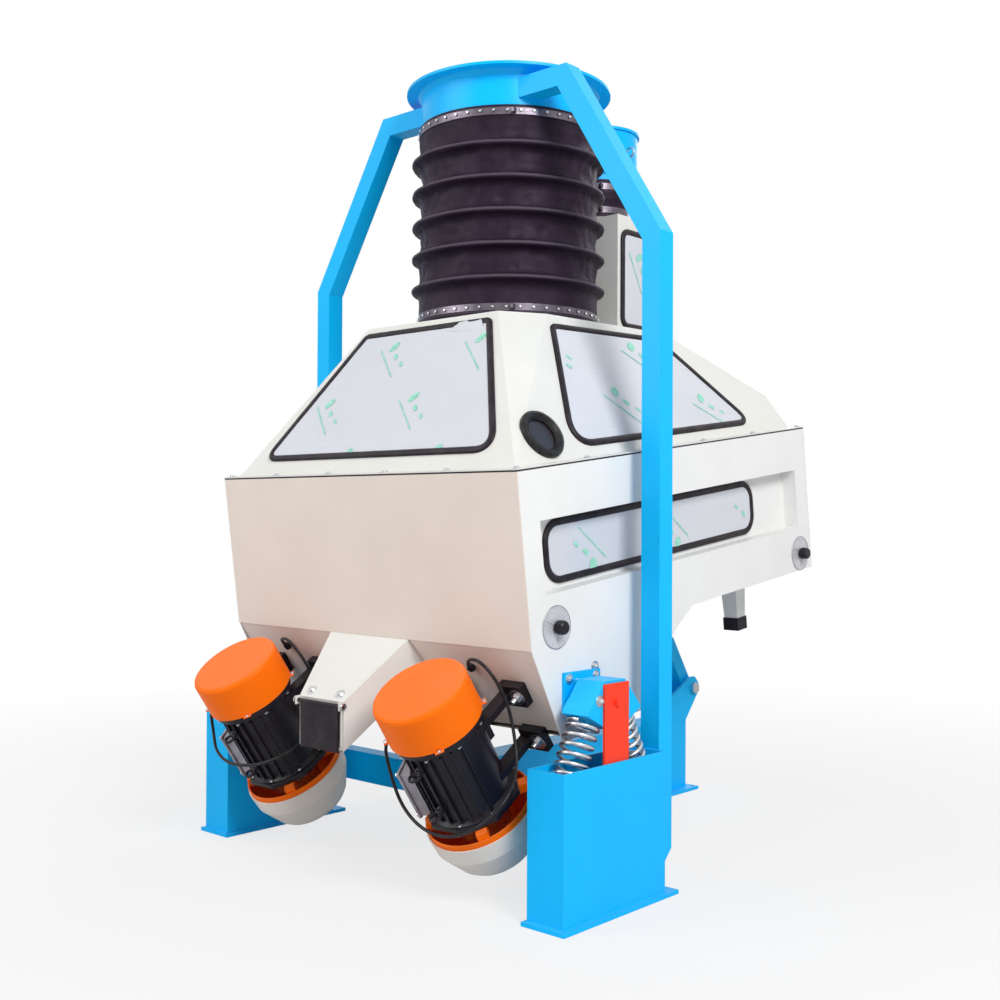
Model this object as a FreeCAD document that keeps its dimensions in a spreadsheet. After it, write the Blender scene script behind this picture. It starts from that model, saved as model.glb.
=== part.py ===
"""Suction gravity destoner: a tilted vibrating sieve body on springs and a rear rocker.

Stand frame: X across the machine, Y from the motor end to the stone end, Z up, floor at Z = 0
and the axis of the suction duct at X = Y = 0.
Machine frame: x across, u up the deck from the front seam, w square to the deck, so the whole
vibrating body is drawn level and then turned by the deck's inclination.
"""
import FreeCAD, Part
import math
import os

import Sketcher
from FreeCAD import Placement, Rotation, Vector

doc = FreeCAD.newDocument("GravityDestoner")

SIZES = (
    ("origin_setback", 77.75),
    # stand
    ("pedestal_gap", 67.0),
    ("pedestal_width", 108.0),
    ("pedestal_front", 572.0),
    ("pedestal_depth", 398.0),
    ("pedestal_height", 360.0),
    ("pedestal_wall", 6.0),
    ("base_overhang", 10.0),
    ("base_rear_overhang", 46.0),
    ("base_thickness", 10.0),
    ("anchor_radius", 7.0),
    ("anchor_inset", 36.0),
    ("cross_beam_bottom", 120.0),
    ("cross_beam_height", 90.0),
    ("centre_beam_width", 100.0),
    ("centre_beam_bottom", 150.0),
    ("centre_beam_height", 100.0),
    ("beam_wall", 5.0),
    ("rear_leg_front", 775.0),
    ("rear_leg_depth", 110.0),
    ("rear_leg_width", 90.0),
    ("rear_leg_top", 300.0),
    ("rear_base_overhang", 32.0),
    # arch
    ("post_gap", 74.0),
    ("post_size", 56.0),
    ("post_foot", 72.0),
    ("post_foot_chamfer", 36.0),
    ("post_wall", 3.0),
    ("arch_knee_height", 1652.0),
    ("arch_bar_height", 2127.0),
    ("arch_shoulder", 345.0),
    # suction spout and bellows
    ("suction_top", 2186.0),
    ("suction_flange_radius", 302.0),
    ("suction_flange_thickness", 8.0),
    ("suction_pipe_radius", 258.0),
    ("suction_pipe_wall", 5.0),
    ("suction_pipe_bottom", 2036.0),
    ("suction_bolt_circle", 284.0),
    ("suction_bolt_radius", 6.0),
    ("bellows_wall", 5.0),
    ("bellows_ring_rise", 23.0),
    ("bellows_ring_pitch", 93.0),
    ("bellows_ring_width", 30.0),
    ("bellows_first_ring", 115.0),
    ("bellows_collar", 42.0),
    ("clamp_width", 20.0),
    ("clamp_thickness", 2.0),
    ("seat_gap", 0.3),
    # vibrating box
    ("body_length", 1360.0),
    ("body_width", 1130.0),
    ("seam_front", 600.0),
    ("seam_height", 1042.0),
    ("inclination", 7.4),
    ("sheet", 3.0),
    ("end_panel_height", 421.0),
    ("rear_panel_height", 433.0),
    ("panel_return", 38.0),
    ("keel_depth", 660.0),
    ("keel_front", 90.0),
    ("keel_rear", 410.0),
    ("keel_knee", 600.0),
    ("keel_knee_depth", 478.0),
    ("keel_end", 680.0),
    ("field_front", 70.0),
    ("field_rear", 1290.0),
    ("field_top", 123.0),
    ("field_bottom", 300.0),
    ("field_depth", 45.0),
    ("side_window_front", 122.0),
    ("side_window_rear", 1100.0),
    ("side_window_top", 130.0),
    ("side_window_bottom", 290.0),
    ("side_window_round", 58.0),
    ("seal_width", 17.0),
    ("seal_height", 7.0),
    ("glass", 5.0),
    # hood
    ("gasket", 4.0),
    ("hood_inset", 33.0),
    ("hood_top", 1482.0),
    ("hood_shoulder", 319.0),
    ("hood_brow", 331.0),
    ("hood_corner_across", 65.0),
    ("hood_corner_along", 122.0),
    ("hood_heel_along", 1300.0),
    ("hood_heel_height", 110.0),
    ("hood_back_slope", 30.5),
    ("hood_collar_height", 78.0),
    ("hood_glass_foot", 28.0),
    ("hood_glass_foot_start", 262.0),
    ("hood_glass_foot_end", 1142.0),
    ("hood_glass_top_start", 440.0),
    ("hood_glass_top_end", 893.0),
    ("hood_glass_start_height", 402.0),
    ("hood_glass_end_height", 345.0),
    ("lamp_along", 148.0),
    ("lamp_up", 76.0),
    ("lamp_radius", 66.0),
    # feed
    ("hopper_half_width", 172.0),
    ("hopper_front", 312.0),
    ("hopper_depth", 236.0),
    ("hopper_top", 1870.0),
    ("hopper_foot", 1360.0),
    ("hopper_window_rise", 160.0),
    ("hopper_window_margin", 40.0),
    ("hopper_window_inset", 14.0),
    ("hopper_window_round", 36.0),
    ("neck_radius", 96.0),
    ("neck_height", 60.0),
    ("feed_sleeve_bottom", 1888.0),
    ("feed_sleeve_top", 2004.0),
    ("feed_pipe_bottom", 1962.0),
    ("feed_bowl_radius", 130.0),
    ("feed_bowl_bottom", 2052.0),
    ("feed_top", 2164.0),
    ("gate_tilt", 32.0),
    ("gate_rise", 120.0),
    ("gate_inset", 30.0),
    # product outlet
    ("chute_tip_along", -175.0),
    ("chute_tip_depth", 549.0),
    ("chute_tip_half_width", 86.0),
    ("chute_taper", 0.41),
    ("chute_height", 125.0),
    ("flap_thickness", 5.0),
    ("rod_radius", 5.0),
    # stone outlet
    ("stone_spout_inset", 235.0),
    ("stone_spout_along", 1270.0),
    ("stone_spout_length", 175.0),
    # motors
    ("motor_plate_angle", 26.5),
    ("motor_plate_thickness", 10.0),
    ("motor_plate_length", 248.0),
    ("motor_inset", 204.0),
    ("motor_down_plate", 206.5),
    ("motor_foot_height", 189.5),
    ("motor_body_radius", 98.0),
    ("motor_half_length", 125.0),
    ("motor_flange_radius", 112.0),
    ("motor_flange_width", 20.0),
    ("shaft_radius", 20.0),
    ("bearing_clearance", 0.05),
    ("cap_radius", 120.0),
    ("cap_length", 103.0),
    ("cap_wall", 4.0),
    ("guard_rim_radius", 143.0),
    ("guard_foot_radius", 98.0),
    ("guard_length", 125.0),
    ("guard_rim_gap", 29.0),
    ("liner_rise", 14.0),
    ("weight_radius", 78.0),
    ("weight_thickness", 34.0),
    # springs and their seats
    ("spring_gap", 63.0),
    ("spring_group", 210.0),
    ("spring_splay", 27.0),
    ("spring_top_spread", 63.0),
    ("spring_top_height", 456.0),
    ("spring_length", 158.0),
    ("spring_radius", 42.0),
    ("spring_wire", 10.0),
    ("bracket_top", 552.0),
    ("bracket_half_top", 40.0),
    ("bracket_inner_gap", 27.0),
    ("bracket_outer_gap", 105.7),
    ("lock_width", 95.0),
    ("lock_top", 546.0),
    ("lock_length", 205.0),
    ("lock_thickness", 6.0),
    # rear rocker
    ("rocker_pivot_along", 925.0),
    ("rocker_pivot_height", 345.0),
    ("rocker_length", 400.0),
    ("pin_radius", 12.0),
    ("pin_clearance", 0.06),
    ("upper_pin_clearance", 0.1),
    ("rocker_hub_radius", 32.0),
    ("rocker_width", 70.0),
    ("hanger_width", 480.0),
    ("cheek_thickness", 10.0),
    ("cheek_gap", 1.0),
    # adjusters
    ("dial_radius", 53.0),
    ("dial_thickness", 2.0),
    ("dial_front_along", 98.0),
    ("dial_rear_along", 1290.0),
    ("dial_depth", 381.0),
    ("knob_radius", 16.0),
    ("knob_length", 27.0),
    # decks
    ("upper_screen_depth", 70.0),
    ("lower_deck_depth", 345.0),
    ("deck_frame", 30.0),
    ("air_plate_margin", 60.0),
    ("air_plate_rib", 20.0),
)

sheet = doc.addObject("Spreadsheet::Sheet", "Sizes")
for row, (alias, number) in enumerate(SIZES, start=1):
    sheet.set("A%d" % row, alias)
    sheet.set("B%d" % row, repr(number))
    sheet.setAlias("B%d" % row, alias)
doc.recompute()


class Size:
    """A number that remembers the sheet formula it comes from."""

    def __init__(self, value, text=None):
        self.value = float(value)
        self.text = text if text is not None else repr(float(value))

    def __add__(self, other):
        other = size(other)
        return Size(self.value + other.value, "(%s + %s)" % (self.text, other.text))

    def __sub__(self, other):
        other = size(other)
        return Size(self.value - other.value, "(%s - %s)" % (self.text, other.text))

    def __mul__(self, other):
        other = size(other)
        return Size(self.value * other.value, "(%s * %s)" % (self.text, other.text))

    def __truediv__(self, other):
        other = size(other)
        return Size(self.value / other.value, "(%s / %s)" % (self.text, other.text))

    def __radd__(self, other):
        return size(other) + self

    def __rsub__(self, other):
        return size(other) - self

    def __rmul__(self, other):
        return size(other) * self

    def __neg__(self):
        return Size(-self.value, "(0 - %s)" % self.text)

    def __float__(self):
        return self.value


def size(number):
    return number if isinstance(number, Size) else Size(number)


def cell(alias):
    return Size(getattr(sheet, alias), "Sizes.%s" % alias)


def sin(angle):
    return Size(math.sin(math.radians(angle.value)), "sin(%s)" % angle.text)


def cos(angle):
    return Size(math.cos(math.radians(angle.value)), "cos(%s)" % angle.text)


formulas = {}


def bind(obj, prop, value):
    """Tie a property to its size's formula."""
    value = size(value)
    formulas[obj.Name, prop] = value
    obj.setExpression(prop, value.text)


def bind_placement(obj, base, axis=None, angle=None):
    turn = Rotation(Vector(*axis), size(angle).value) if axis else Rotation()
    obj.Placement = Placement(Vector(*[size(c).value for c in base]), turn)
    for name, value in zip("xyz", base):
        if isinstance(value, Size):
            bind(obj, "Placement.Base.%s" % name, value)
    if axis and isinstance(angle, Size):
        bind(obj, "Placement.Rotation.Angle", angle)


def machine_frame(obj):
    """Lift a piece drawn on the level deck frame into its tilted place."""
    bind_placement(obj, (0, -cell("seam_front"), cell("seam_height")), (1, 0, 0),
                   cell("inclination"))
    return obj


def box(name, corner, spans):
    piece = doc.addObject("Part::Box", name)
    for prop, span in zip(("Length", "Width", "Height"), spans):
        bind(piece, prop, span)
    bind_placement(piece, corner)
    return piece


def cylinder(name, radius, height, base, axis=None, angle=0):
    piece = doc.addObject("Part::Cylinder", name)
    bind(piece, "Radius", radius)
    bind(piece, "Height", height)
    bind_placement(piece, base, axis, angle)
    return piece


def fuse(label, pieces):
    joined = doc.addObject("Part::MultiFuse", label)
    joined.Label = label
    joined.Shapes = pieces
    joined.Refine = True
    return joined


def cut(label, base, tools):
    tool = tools[0] if len(tools) == 1 else fuse(label + "_tools", tools)
    result = doc.addObject("Part::Cut", label)
    result.Label = label
    result.Base = base
    result.Tool = tool
    result.Refine = True
    return result


def group(label, pieces):
    """Several pieces of one kind kept as one node."""
    together = doc.addObject("Part::Compound", label)
    together.Label = label
    together.Links = pieces
    return together


def plane_of(body, role):
    for feature in body.Origin.OriginFeatures:
        if feature.Role == role:
            return feature
    raise ValueError(role)


def outline(body, role, points, offset=0):
    """A closed sketch with every corner tied to its two sizes."""
    sketch = body.newObject("Sketcher::SketchObject", body.Name + "_outline")
    sketch.AttachmentSupport = (plane_of(body, role), [""])
    sketch.MapMode = "FlatFace"
    sketch.AttachmentOffset = Placement(Vector(0, 0, size(offset).value), Rotation())
    if isinstance(offset, Size):
        bind(sketch, "AttachmentOffset.Base.z", offset)
    corners = [(size(x), size(y)) for x, y in points]
    count = len(corners)
    for index in range(count):
        first, second = corners[index], corners[(index + 1) % count]
        sketch.addGeometry(Part.LineSegment(Vector(first[0].value, first[1].value, 0),
                                            Vector(second[0].value, second[1].value, 0)))
    for index in range(count):
        sketch.addConstraint(Sketcher.Constraint("Coincident", index, 2, (index + 1) % count, 1))
    for index, corner in enumerate(corners):
        for kind, value in zip(("DistanceX", "DistanceY"), corner):
            number = sketch.addConstraint(
                Sketcher.Constraint(kind, -1, 1, index, 1, value.value))
            if "Sizes" in value.text:
                sketch.setExpression("Constraints[%d]" % number, value.text)
    return sketch


def pad(body, role, points, length, offset=0, away=False):
    sketch = outline(body, role, points, offset)
    feature = body.newObject("PartDesign::Pad", body.Name + "_pad")
    feature.Profile = sketch
    bind(feature, "Length", length)
    feature.Reversed = away
    body.Tip = feature
    return feature


def pocket(body, role, points, length, offset=0, away=False):
    """Cut along the plane's own normal from the offset, or the other way with away."""
    sketch = outline(body, role, points, offset)
    feature = body.newObject("PartDesign::Pocket", body.Name + "_pocket")
    feature.Profile = sketch
    bind(feature, "Length", length)
    feature.Reversed = not away
    body.Tip = feature
    return feature


def new_body(label):
    body = doc.addObject("PartDesign::Body", label)
    body.Label = label
    return body


def turned(label, points):
    """A body of revolution about its own Z axis, from a profile in radius and height."""
    body = new_body(label)
    sketch = outline(body, "XZ_Plane", points)
    feature = body.newObject("PartDesign::Revolution", label + "_turned")
    feature.Profile = sketch
    feature.ReferenceAxis = (sketch, ["V_Axis"])
    feature.Angle = 360
    body.Tip = feature
    return body


def rectangle(low_x, low_y, high_x, high_y):
    return [(low_x, low_y), (high_x, low_y), (high_x, high_y), (low_x, high_y)]


def shape_feature(label, shape):
    """Keep a computed shape, with any turn it has baked in, ready for a Placement."""
    baked = shape.copy()
    turn = baked.Placement.toMatrix()
    baked.Placement = Placement()
    baked.transformShape(turn, True)
    feature = doc.addObject("Part::Feature", label)
    feature.Label = label
    feature.Shape = baked
    return feature


nodes = []


def node(obj):
    """Keep a finished piece, moved so that the origin lies under the machine's middle."""
    place = "Placement.Base.y"
    now = formulas.get((obj.Name, place), size(obj.Placement.Base.y))
    bind(obj, place, now - cell("origin_setback"))
    nodes.append(obj)
    return obj


def number(alias):
    return getattr(sheet, alias)


def beside_box(gap):
    """Distance from the middle plane to something that stands beside the box."""
    return cell("body_width") / 2 + cell(gap)


def within_box(inset):
    """Distance from the middle plane to something set in from the box's side."""
    return cell("body_width") / 2 - cell(inset)


# Stand


def pedestal(side, name):
    """An open-topped box on a base plate that carries one pair of springs and one post."""
    width = cell("pedestal_width")
    wall = cell("pedestal_wall")
    front = -cell("pedestal_front")
    depth = cell("pedestal_depth")
    thickness = cell("base_thickness")
    overhang = cell("base_overhang")
    centre = side * beside_box("pedestal_gap")
    left = centre - width / 2
    shell = box(name + "_shell", (left, front, thickness),
                (width, depth, cell("pedestal_height") - thickness))
    inside = box(name + "_inside", (left + wall, front + wall, thickness),
                 (width - 2 * wall, depth - 2 * wall, cell("pedestal_height")))
    rear = cell("base_rear_overhang")
    plate = box(name + "_plate", (left - overhang, front - overhang, 0),
                (width + 2 * overhang, depth + overhang + rear, thickness))
    holes = []
    for index, along in enumerate((front + cell("anchor_inset"),
                                   front + depth - cell("anchor_inset"))):
        holes.append(cylinder("%s_anchor_%d" % (name, index), cell("anchor_radius"),
                              3 * thickness, (centre, along, -thickness)))
    walls = cut(name + "_walls", shell, [inside])
    seats = [spring_seat(side, name, end) for end in (-1, 1)]
    solid = fuse(name + "_solid", [walls, plate] + seats)
    return node(cut(name, solid, holes))


def spring_axis(end):
    """Top centre of a spring and the direction of its axis going down, in the Y-Z plane."""
    splay = cell("spring_splay")
    centre = -(cell("pedestal_front") - cell("spring_group"))
    top = (centre + end * cell("spring_top_spread"), cell("spring_top_height"))
    return top, (end * sin(splay), -cos(splay))


def spring_seat(side, name, end):
    """A tilted shelf across the pedestal with the spring's foot on it."""
    top, down = spring_axis(end)
    wall = cell("pedestal_wall")
    length = cell("spring_length") + cell("seat_gap")
    foot = (top[0] + down[0] * length, top[1] + down[1] * length)
    width = cell("pedestal_width") - 2 * wall
    shelf = doc.addObject("Part::Box", "%s_seat_%d" % (name, end))
    reach = cell("spring_radius") * 2 + 6
    thickness = cell("pedestal_wall")
    bind(shelf, "Length", width)
    bind(shelf, "Width", reach)
    bind(shelf, "Height", thickness)
    splay = end * cell("spring_splay")
    across = (cos(splay), sin(splay))
    start = (foot[0] - across[0] * reach / 2 + down[0] * thickness,
             foot[1] - across[1] * reach / 2 + down[1] * thickness)
    bind_placement(shelf, (side * beside_box("pedestal_gap") - width / 2, start[0], start[1]),
                   (1, 0, 0), splay)
    return shelf


def spring(side, end, name):
    """The outer form of one coil spring, with a bulge for every turn."""
    top, down = spring_axis(end)
    radius = cell("spring_radius")
    wire = cell("spring_wire")
    length = cell("spring_length")
    turns = 7
    pitch = (length - wire) / turns
    inner = radius - wire
    points = [(inner, 0), (radius - wire / 4, 0)]
    for turn in range(turns):
        foot = wire / 2 + pitch * turn
        points += [(radius, foot), (radius - wire * 0.45, foot + pitch / 2)]
    points += [(radius, length - wire / 2), (radius - wire / 4, length), (inner, length)]
    body = turned(name, points)
    foot = (top[0] + down[0] * length, top[1] + down[1] * length)
    bind_placement(body, (side * beside_box("spring_gap"), foot[0], foot[1]), (1, 0, 0),
                   end * cell("spring_splay"))
    return body


def hollow_beam(name, corner, spans, along):
    """A rectangular tube whose bore runs along axis number along."""
    wall = cell("beam_wall")
    outside = box(name + "_outside", corner, spans)
    inner_corner = []
    inner_spans = []
    for axis in range(3):
        if axis == along:
            inner_corner.append(corner[axis] - 1)
            inner_spans.append(spans[axis] + 2)
        else:
            inner_corner.append(corner[axis] + wall)
            inner_spans.append(spans[axis] - 2 * wall)
    return cut(name, outside, [box(name + "_bore", inner_corner, inner_spans)])


def stand_rear():
    """Rear face of the pedestals, where the posts and the cross beam are welded on."""
    return cell("pedestal_depth") - cell("pedestal_front")


def cross_beam():
    """The tube between the posts, behind the motors."""
    inner = beside_box("post_gap") - cell("post_size") / 2
    corner = (-inner, stand_rear(), cell("cross_beam_bottom"))
    return node(hollow_beam("cross_beam", corner,
                            (2 * inner, cell("post_size"), cell("cross_beam_height")), 0))


def centre_beam():
    """The tube from the cross beam back to the rear leg."""
    start = stand_rear() + cell("post_size")
    width = cell("centre_beam_width")
    corner = (-width / 2, start, cell("centre_beam_bottom"))
    return node(hollow_beam("centre_beam", corner,
                            (width, cell("rear_leg_front") - start,
                             cell("centre_beam_height")), 1))


def rear_leg():
    """One box leg on a base plate, with two cheeks for the rocker's lower pin."""
    width = cell("rear_leg_width")
    front = cell("rear_leg_front")
    depth = cell("rear_leg_depth")
    thickness = cell("base_thickness")
    overhang = cell("rear_base_overhang")
    leg = box("rear_leg_box", (-width / 2, front, thickness),
              (width, depth, cell("rear_leg_top") - thickness))
    plate = box("rear_leg_plate", (-width / 2 - overhang, front - overhang, 0),
                (width + 2 * overhang, depth + 2 * overhang, thickness))
    cheeks = []
    cheek = cell("cheek_thickness")
    inner = cell("rocker_width") / 2 + cell("cheek_gap")
    reach = cell("rocker_hub_radius") + 6
    pivot = (cell("rocker_pivot_along"), cell("rocker_pivot_height"))
    for side in (-1, 1):
        body = new_body("rear_leg_cheek_%s" % ("right" if side > 0 else "left"))
        foot = cell("rear_leg_top") - 60
        points = [(front + 12, foot), (front + depth, foot),
                  (pivot[0] + reach, pivot[1] - reach * 0.4),
                  (pivot[0] + reach, pivot[1] + reach * 0.4),
                  (pivot[0] + reach * 0.4, pivot[1] + reach),
                  (pivot[0] - reach * 0.4, pivot[1] + reach),
                  (front + 12, cell("rear_leg_top") + 20)]
        offset = inner if side > 0 else -inner - cheek
        pad(body, "YZ_Plane", points, cheek, offset)
        cheeks.append(body)
    holes = [cylinder("rear_leg_pin_bore",
                      cell("pin_radius") + cell("seat_gap") / 6, 4 * width,
                      (-2 * width, pivot[0], pivot[1]), (0, 1, 0), 90)]
    for side in (-1, 1):
        for end in (-1, 1):
            holes.append(cylinder("rear_anchor_%d_%d" % (side, end), cell("anchor_radius"),
                                  3 * thickness,
                                  (side * (width / 2 + overhang / 2),
                                   front + depth / 2 + end * (depth / 2 + overhang / 2),
                                   -thickness)))
    solid = fuse("rear_leg_solid", [leg, plate] + cheeks)
    return node(cut("rear_leg", solid, holes))


def arch_post(side, name):
    """A square tube: upright, leaning arm and a short level bar to the suction pipe."""
    half = cell("post_size") / 2
    upright_x = side * beside_box("post_gap")
    y_plane = stand_rear() + half
    pipe = cell("suction_pipe_radius")
    foot = cell("post_foot")
    body = new_body(name + "_bar")
    section = outline(body, "XY_Plane",
                      rectangle(upright_x - half, y_plane - half, upright_x + half,
                                y_plane + half), foot)
    path = body.newObject("Sketcher::SketchObject", name + "_path")
    path.AttachmentSupport = (plane_of(body, "XZ_Plane"), [""])
    path.MapMode = "FlatFace"
    path.AttachmentOffset = Placement(Vector(0, 0, -y_plane.value), Rotation())
    bind(path, "AttachmentOffset.Base.z", -y_plane)
    bar = cell("arch_bar_height")
    stations = [(upright_x, foot), (upright_x, cell("arch_knee_height")),
                (side * cell("arch_shoulder"), bar), (side * pipe * 0.6, bar)]
    for index in range(3):
        first, second = stations[index], stations[index + 1]
        path.addGeometry(Part.LineSegment(Vector(first[0].value, first[1].value, 0),
                                          Vector(second[0].value, second[1].value, 0)))
    for index in range(2):
        path.addConstraint(Sketcher.Constraint("Coincident", index, 2, index + 1, 1))
    ends = [(0, 1), (1, 1), (2, 1), (2, 2)]
    for (line, end), station in zip(ends, stations):
        for kind, value in zip(("DistanceX", "DistanceY"), station):
            slot = path.addConstraint(
                Sketcher.Constraint(kind, -1, 1, line, end, value.value))
            path.setExpression("Constraints[%d]" % slot, value.text)
    sweep = body.newObject("PartDesign::AdditivePipe", name + "_tube")
    sweep.Profile = section
    sweep.Spine = path
    sweep.Transition = "Right corner"
    body.Tip = sweep
    clear = cylinder(name + "_pipe_clear", pipe + cell("seat_gap"), 400,
                     (0, 0, bar - 200))
    chamfer = cell("post_foot_chamfer")
    wedge = new_body(name + "_foot_cut")
    rear = y_plane + half
    pad(wedge, "YZ_Plane", [(rear - chamfer, foot - 1), (rear + 1, foot - 1),
                            (rear + 1, foot + chamfer)], 4 * half, upright_x - 2 * half)
    return node(cut(name, body, [clear, wedge]))


def suction_spout():
    """The fixed duct end: a flanged ring that the aspiration pipe bolts to."""
    pipe = cell("suction_pipe_radius")
    bore = pipe - cell("suction_pipe_wall")
    top = cell("suction_top")
    under = top - cell("suction_flange_thickness")
    rim = cell("suction_flange_radius")
    ring = turned("suction_spout_ring",
                  [(bore, cell("suction_pipe_bottom")), (pipe, cell("suction_pipe_bottom")),
                   (pipe, under - 14), (pipe + 12, under), (rim, under), (rim, top),
                   (bore, top)])
    holes = []
    for index in range(8):
        angle = math.radians(22.5 + 45 * index)
        circle = cell("suction_bolt_circle")
        holes.append(cylinder("suction_hole_%d" % index, cell("suction_bolt_radius"), 40,
                              (circle * round(math.cos(angle), 6),
                               circle * round(math.sin(angle), 6), under - 20)))
    return node(cut("suction_spout", ring, holes))


def bellows_floor():
    return cell("hood_top") + 4


def main_bellows():
    """The soft sleeve between hood and suction spout, with five wired rings."""
    pipe = cell("suction_pipe_radius") + cell("seat_gap")
    skin = pipe + cell("bellows_wall")
    low = bellows_floor()
    high = cell("suction_pipe_bottom") + cell("bellows_collar")
    first = low + cell("bellows_first_ring")
    pitch = cell("bellows_ring_pitch")
    half = cell("bellows_ring_width") / 2
    rise = cell("bellows_ring_rise")
    points = [(pipe, low), (skin, low)]
    inner = []
    for ring in range(5):
        middle = first + pitch * ring
        points += [(skin, middle - half * 1.6), (skin + rise, middle - half * 0.3),
                   (skin + rise, middle + half * 0.3), (skin, middle + half * 1.6)]
        inner += [(pipe, middle - half * 1.6), (pipe + rise, middle - half * 0.3),
                  (pipe + rise, middle + half * 0.3), (pipe, middle + half * 1.6)]
    points += [(skin, high), (pipe, high)]
    return node(turned("main_bellows", points + inner[::-1]))


def clamp_bands(name, stations):
    """Steel hose clamps round the sleeves, each with its screw block."""
    width = cell("clamp_width")
    thickness = cell("clamp_thickness")
    gap = cell("seat_gap")
    parts = []
    for index, (radius, height, along) in enumerate(stations):
        inner = radius + gap
        band = turned("%s_band_%d" % (name, index),
                      [(inner, height), (inner + thickness, height),
                       (inner + thickness, height + width), (inner, height + width)])
        bind_placement(band, (0, along, 0))
        diagonal = (inner + thickness / 2) * 0.70711
        lug = box("%s_screw_%d" % (name, index),
                  (diagonal, along - diagonal - 12, height + 4), (9, 12, width - 8))
        parts += [fuse("%s_clamp_%d" % (name, index), [band, lug])]
    return parts


def feed_centre():
    return cell("hopper_front") + cell("hopper_depth") / 2


def feed_sleeve():
    """The soft sleeve on the feed inlet."""
    inner = cell("neck_radius") + cell("seat_gap")
    skin = inner + cell("bellows_wall")
    low = cell("feed_sleeve_bottom")
    high = cell("feed_sleeve_top")
    body = turned("feed_sleeve", [(inner, low), (skin, low), (skin, high), (inner, high)])
    bind_placement(body, (0, feed_centre(), 0))
    return node(body)


def feed_spout():
    """The fixed feed inlet with its bowl, carried from the suction spout by a bracket."""
    pipe = cell("neck_radius")
    wall = cell("bellows_wall")
    bowl = cell("feed_bowl_radius")
    low = cell("feed_pipe_bottom")
    shoulder = cell("feed_bowl_bottom")
    top = cell("feed_top")
    bore = pipe - wall
    cup = turned("feed_spout_cup",
                 [(bore, low), (pipe, low), (pipe, shoulder - 30), (bowl, shoulder),
                  (bowl, top - 8), (bowl + 6, top - 8), (bowl + 6, top), (bowl - wall, top),
                  (bowl - wall, shoulder + 4), (bore, shoulder - 26)])
    bind_placement(cup, (0, feed_centre(), 0))
    clear = cylinder("feed_bracket_clear", cell("suction_pipe_radius") + cell("seat_gap"),
                     200, (0, 0, top - 160))
    hole = cylinder("feed_bracket_bowl", bowl - wall / 2, 200, (0, feed_centre(), top - 160))
    start = cell("suction_pipe_radius") * 0.9
    bar = box("feed_bracket_bar", (-62, start, top - 84), (124, feed_centre() - start, 50))
    bracket = cut("feed_bracket", bar, [clear, hole])
    return node(fuse("feed_spout", [cup, bracket]))


# Vibrating box


def end_panel():
    """Front panel of the box, folded inwards at top and bottom."""
    plate = cell("sheet")
    fold = cell("panel_return")
    depth = cell("end_panel_height")
    width = cell("body_width")
    body = new_body("end_panel")
    pad(body, "YZ_Plane", rectangle(0, -depth, plate, 0), width, -width / 2)
    inner = width - 2 * plate
    for low in (-depth, -plate):
        pad(body, "YZ_Plane", rectangle(0, low, fold, low + plate), inner, -inner / 2)
    return node(machine_frame(body))


def rear_panel():
    plate = cell("sheet")
    fold = cell("panel_return")
    depth = cell("rear_panel_height")
    width = cell("body_width")
    length = cell("body_length")
    body = new_body("rear_panel")
    pad(body, "YZ_Plane", rectangle(length - plate, -depth, length, 0), width, -width / 2)
    inner = width - 2 * plate
    for low in (-depth, -plate):
        pad(body, "YZ_Plane", rectangle(length - fold, low, length, low + plate), inner,
            -inner / 2)
    return node(machine_frame(body))


def plate_foot():
    """Lower end of the sloping motor plate's front face, along u and down w."""
    angle = cell("motor_plate_angle")
    length = cell("motor_plate_length")
    return length * sin(angle), cell("end_panel_height") + length * cos(angle)


def side_panel(side, name):
    """Side of the box: a folded sheet with a long recessed field for the window."""
    plate = cell("sheet")
    half = cell("body_width") / 2
    length = cell("body_length")
    body = new_body(name)
    edge = [(plate, 0), (plate, -cell("end_panel_height") - plate),
            (cell("keel_front"), -cell("keel_depth")), (cell("keel_rear"), -cell("keel_depth")),
            (cell("keel_knee"), -cell("keel_knee_depth")),
            (cell("keel_end"), -cell("rear_panel_height")),
            (length - plate, -cell("rear_panel_height")), (length - plate, 0)]
    outer = half if side > 0 else -half + plate
    pad(body, "YZ_Plane", edge, plate, outer - plate)
    tray = cell("field_depth") + plate
    front, rear = cell("field_front"), cell("field_rear")
    top, bottom = cell("field_top"), cell("field_bottom")
    tray_low = half - tray if side > 0 else -half
    pad(body, "YZ_Plane", rectangle(front - plate, -bottom - plate, rear + plate,
                                    plate - top), tray, tray_low)
    hollow_low = half - cell("field_depth") if side > 0 else -half
    pocket(body, "YZ_Plane", rectangle(front, -bottom, rear, -top), cell("field_depth"),
           hollow_low)
    flange_low = half - cell("panel_return") if side > 0 else -half + plate
    fold = cell("panel_return")
    pad(body, "YZ_Plane", rectangle(fold, -plate, length - fold, 0), fold - plate,
        flange_low)
    window = side_window(side).opening(number("sheet"))
    holes = [shape_feature(name + "_window_opening", window)]
    for index, along in enumerate((cell("dial_front_along"), cell("dial_rear_along"))):
        holes.append(cylinder("%s_knob_hole_%d" % (name, index), 8 + cell("seat_gap") / 5,
                              40, (side * half - 20, along, -cell("dial_depth")),
                              (0, 1, 0), 90))
    return node(machine_frame(cut(name + "_drilled", body, holes)))


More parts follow.
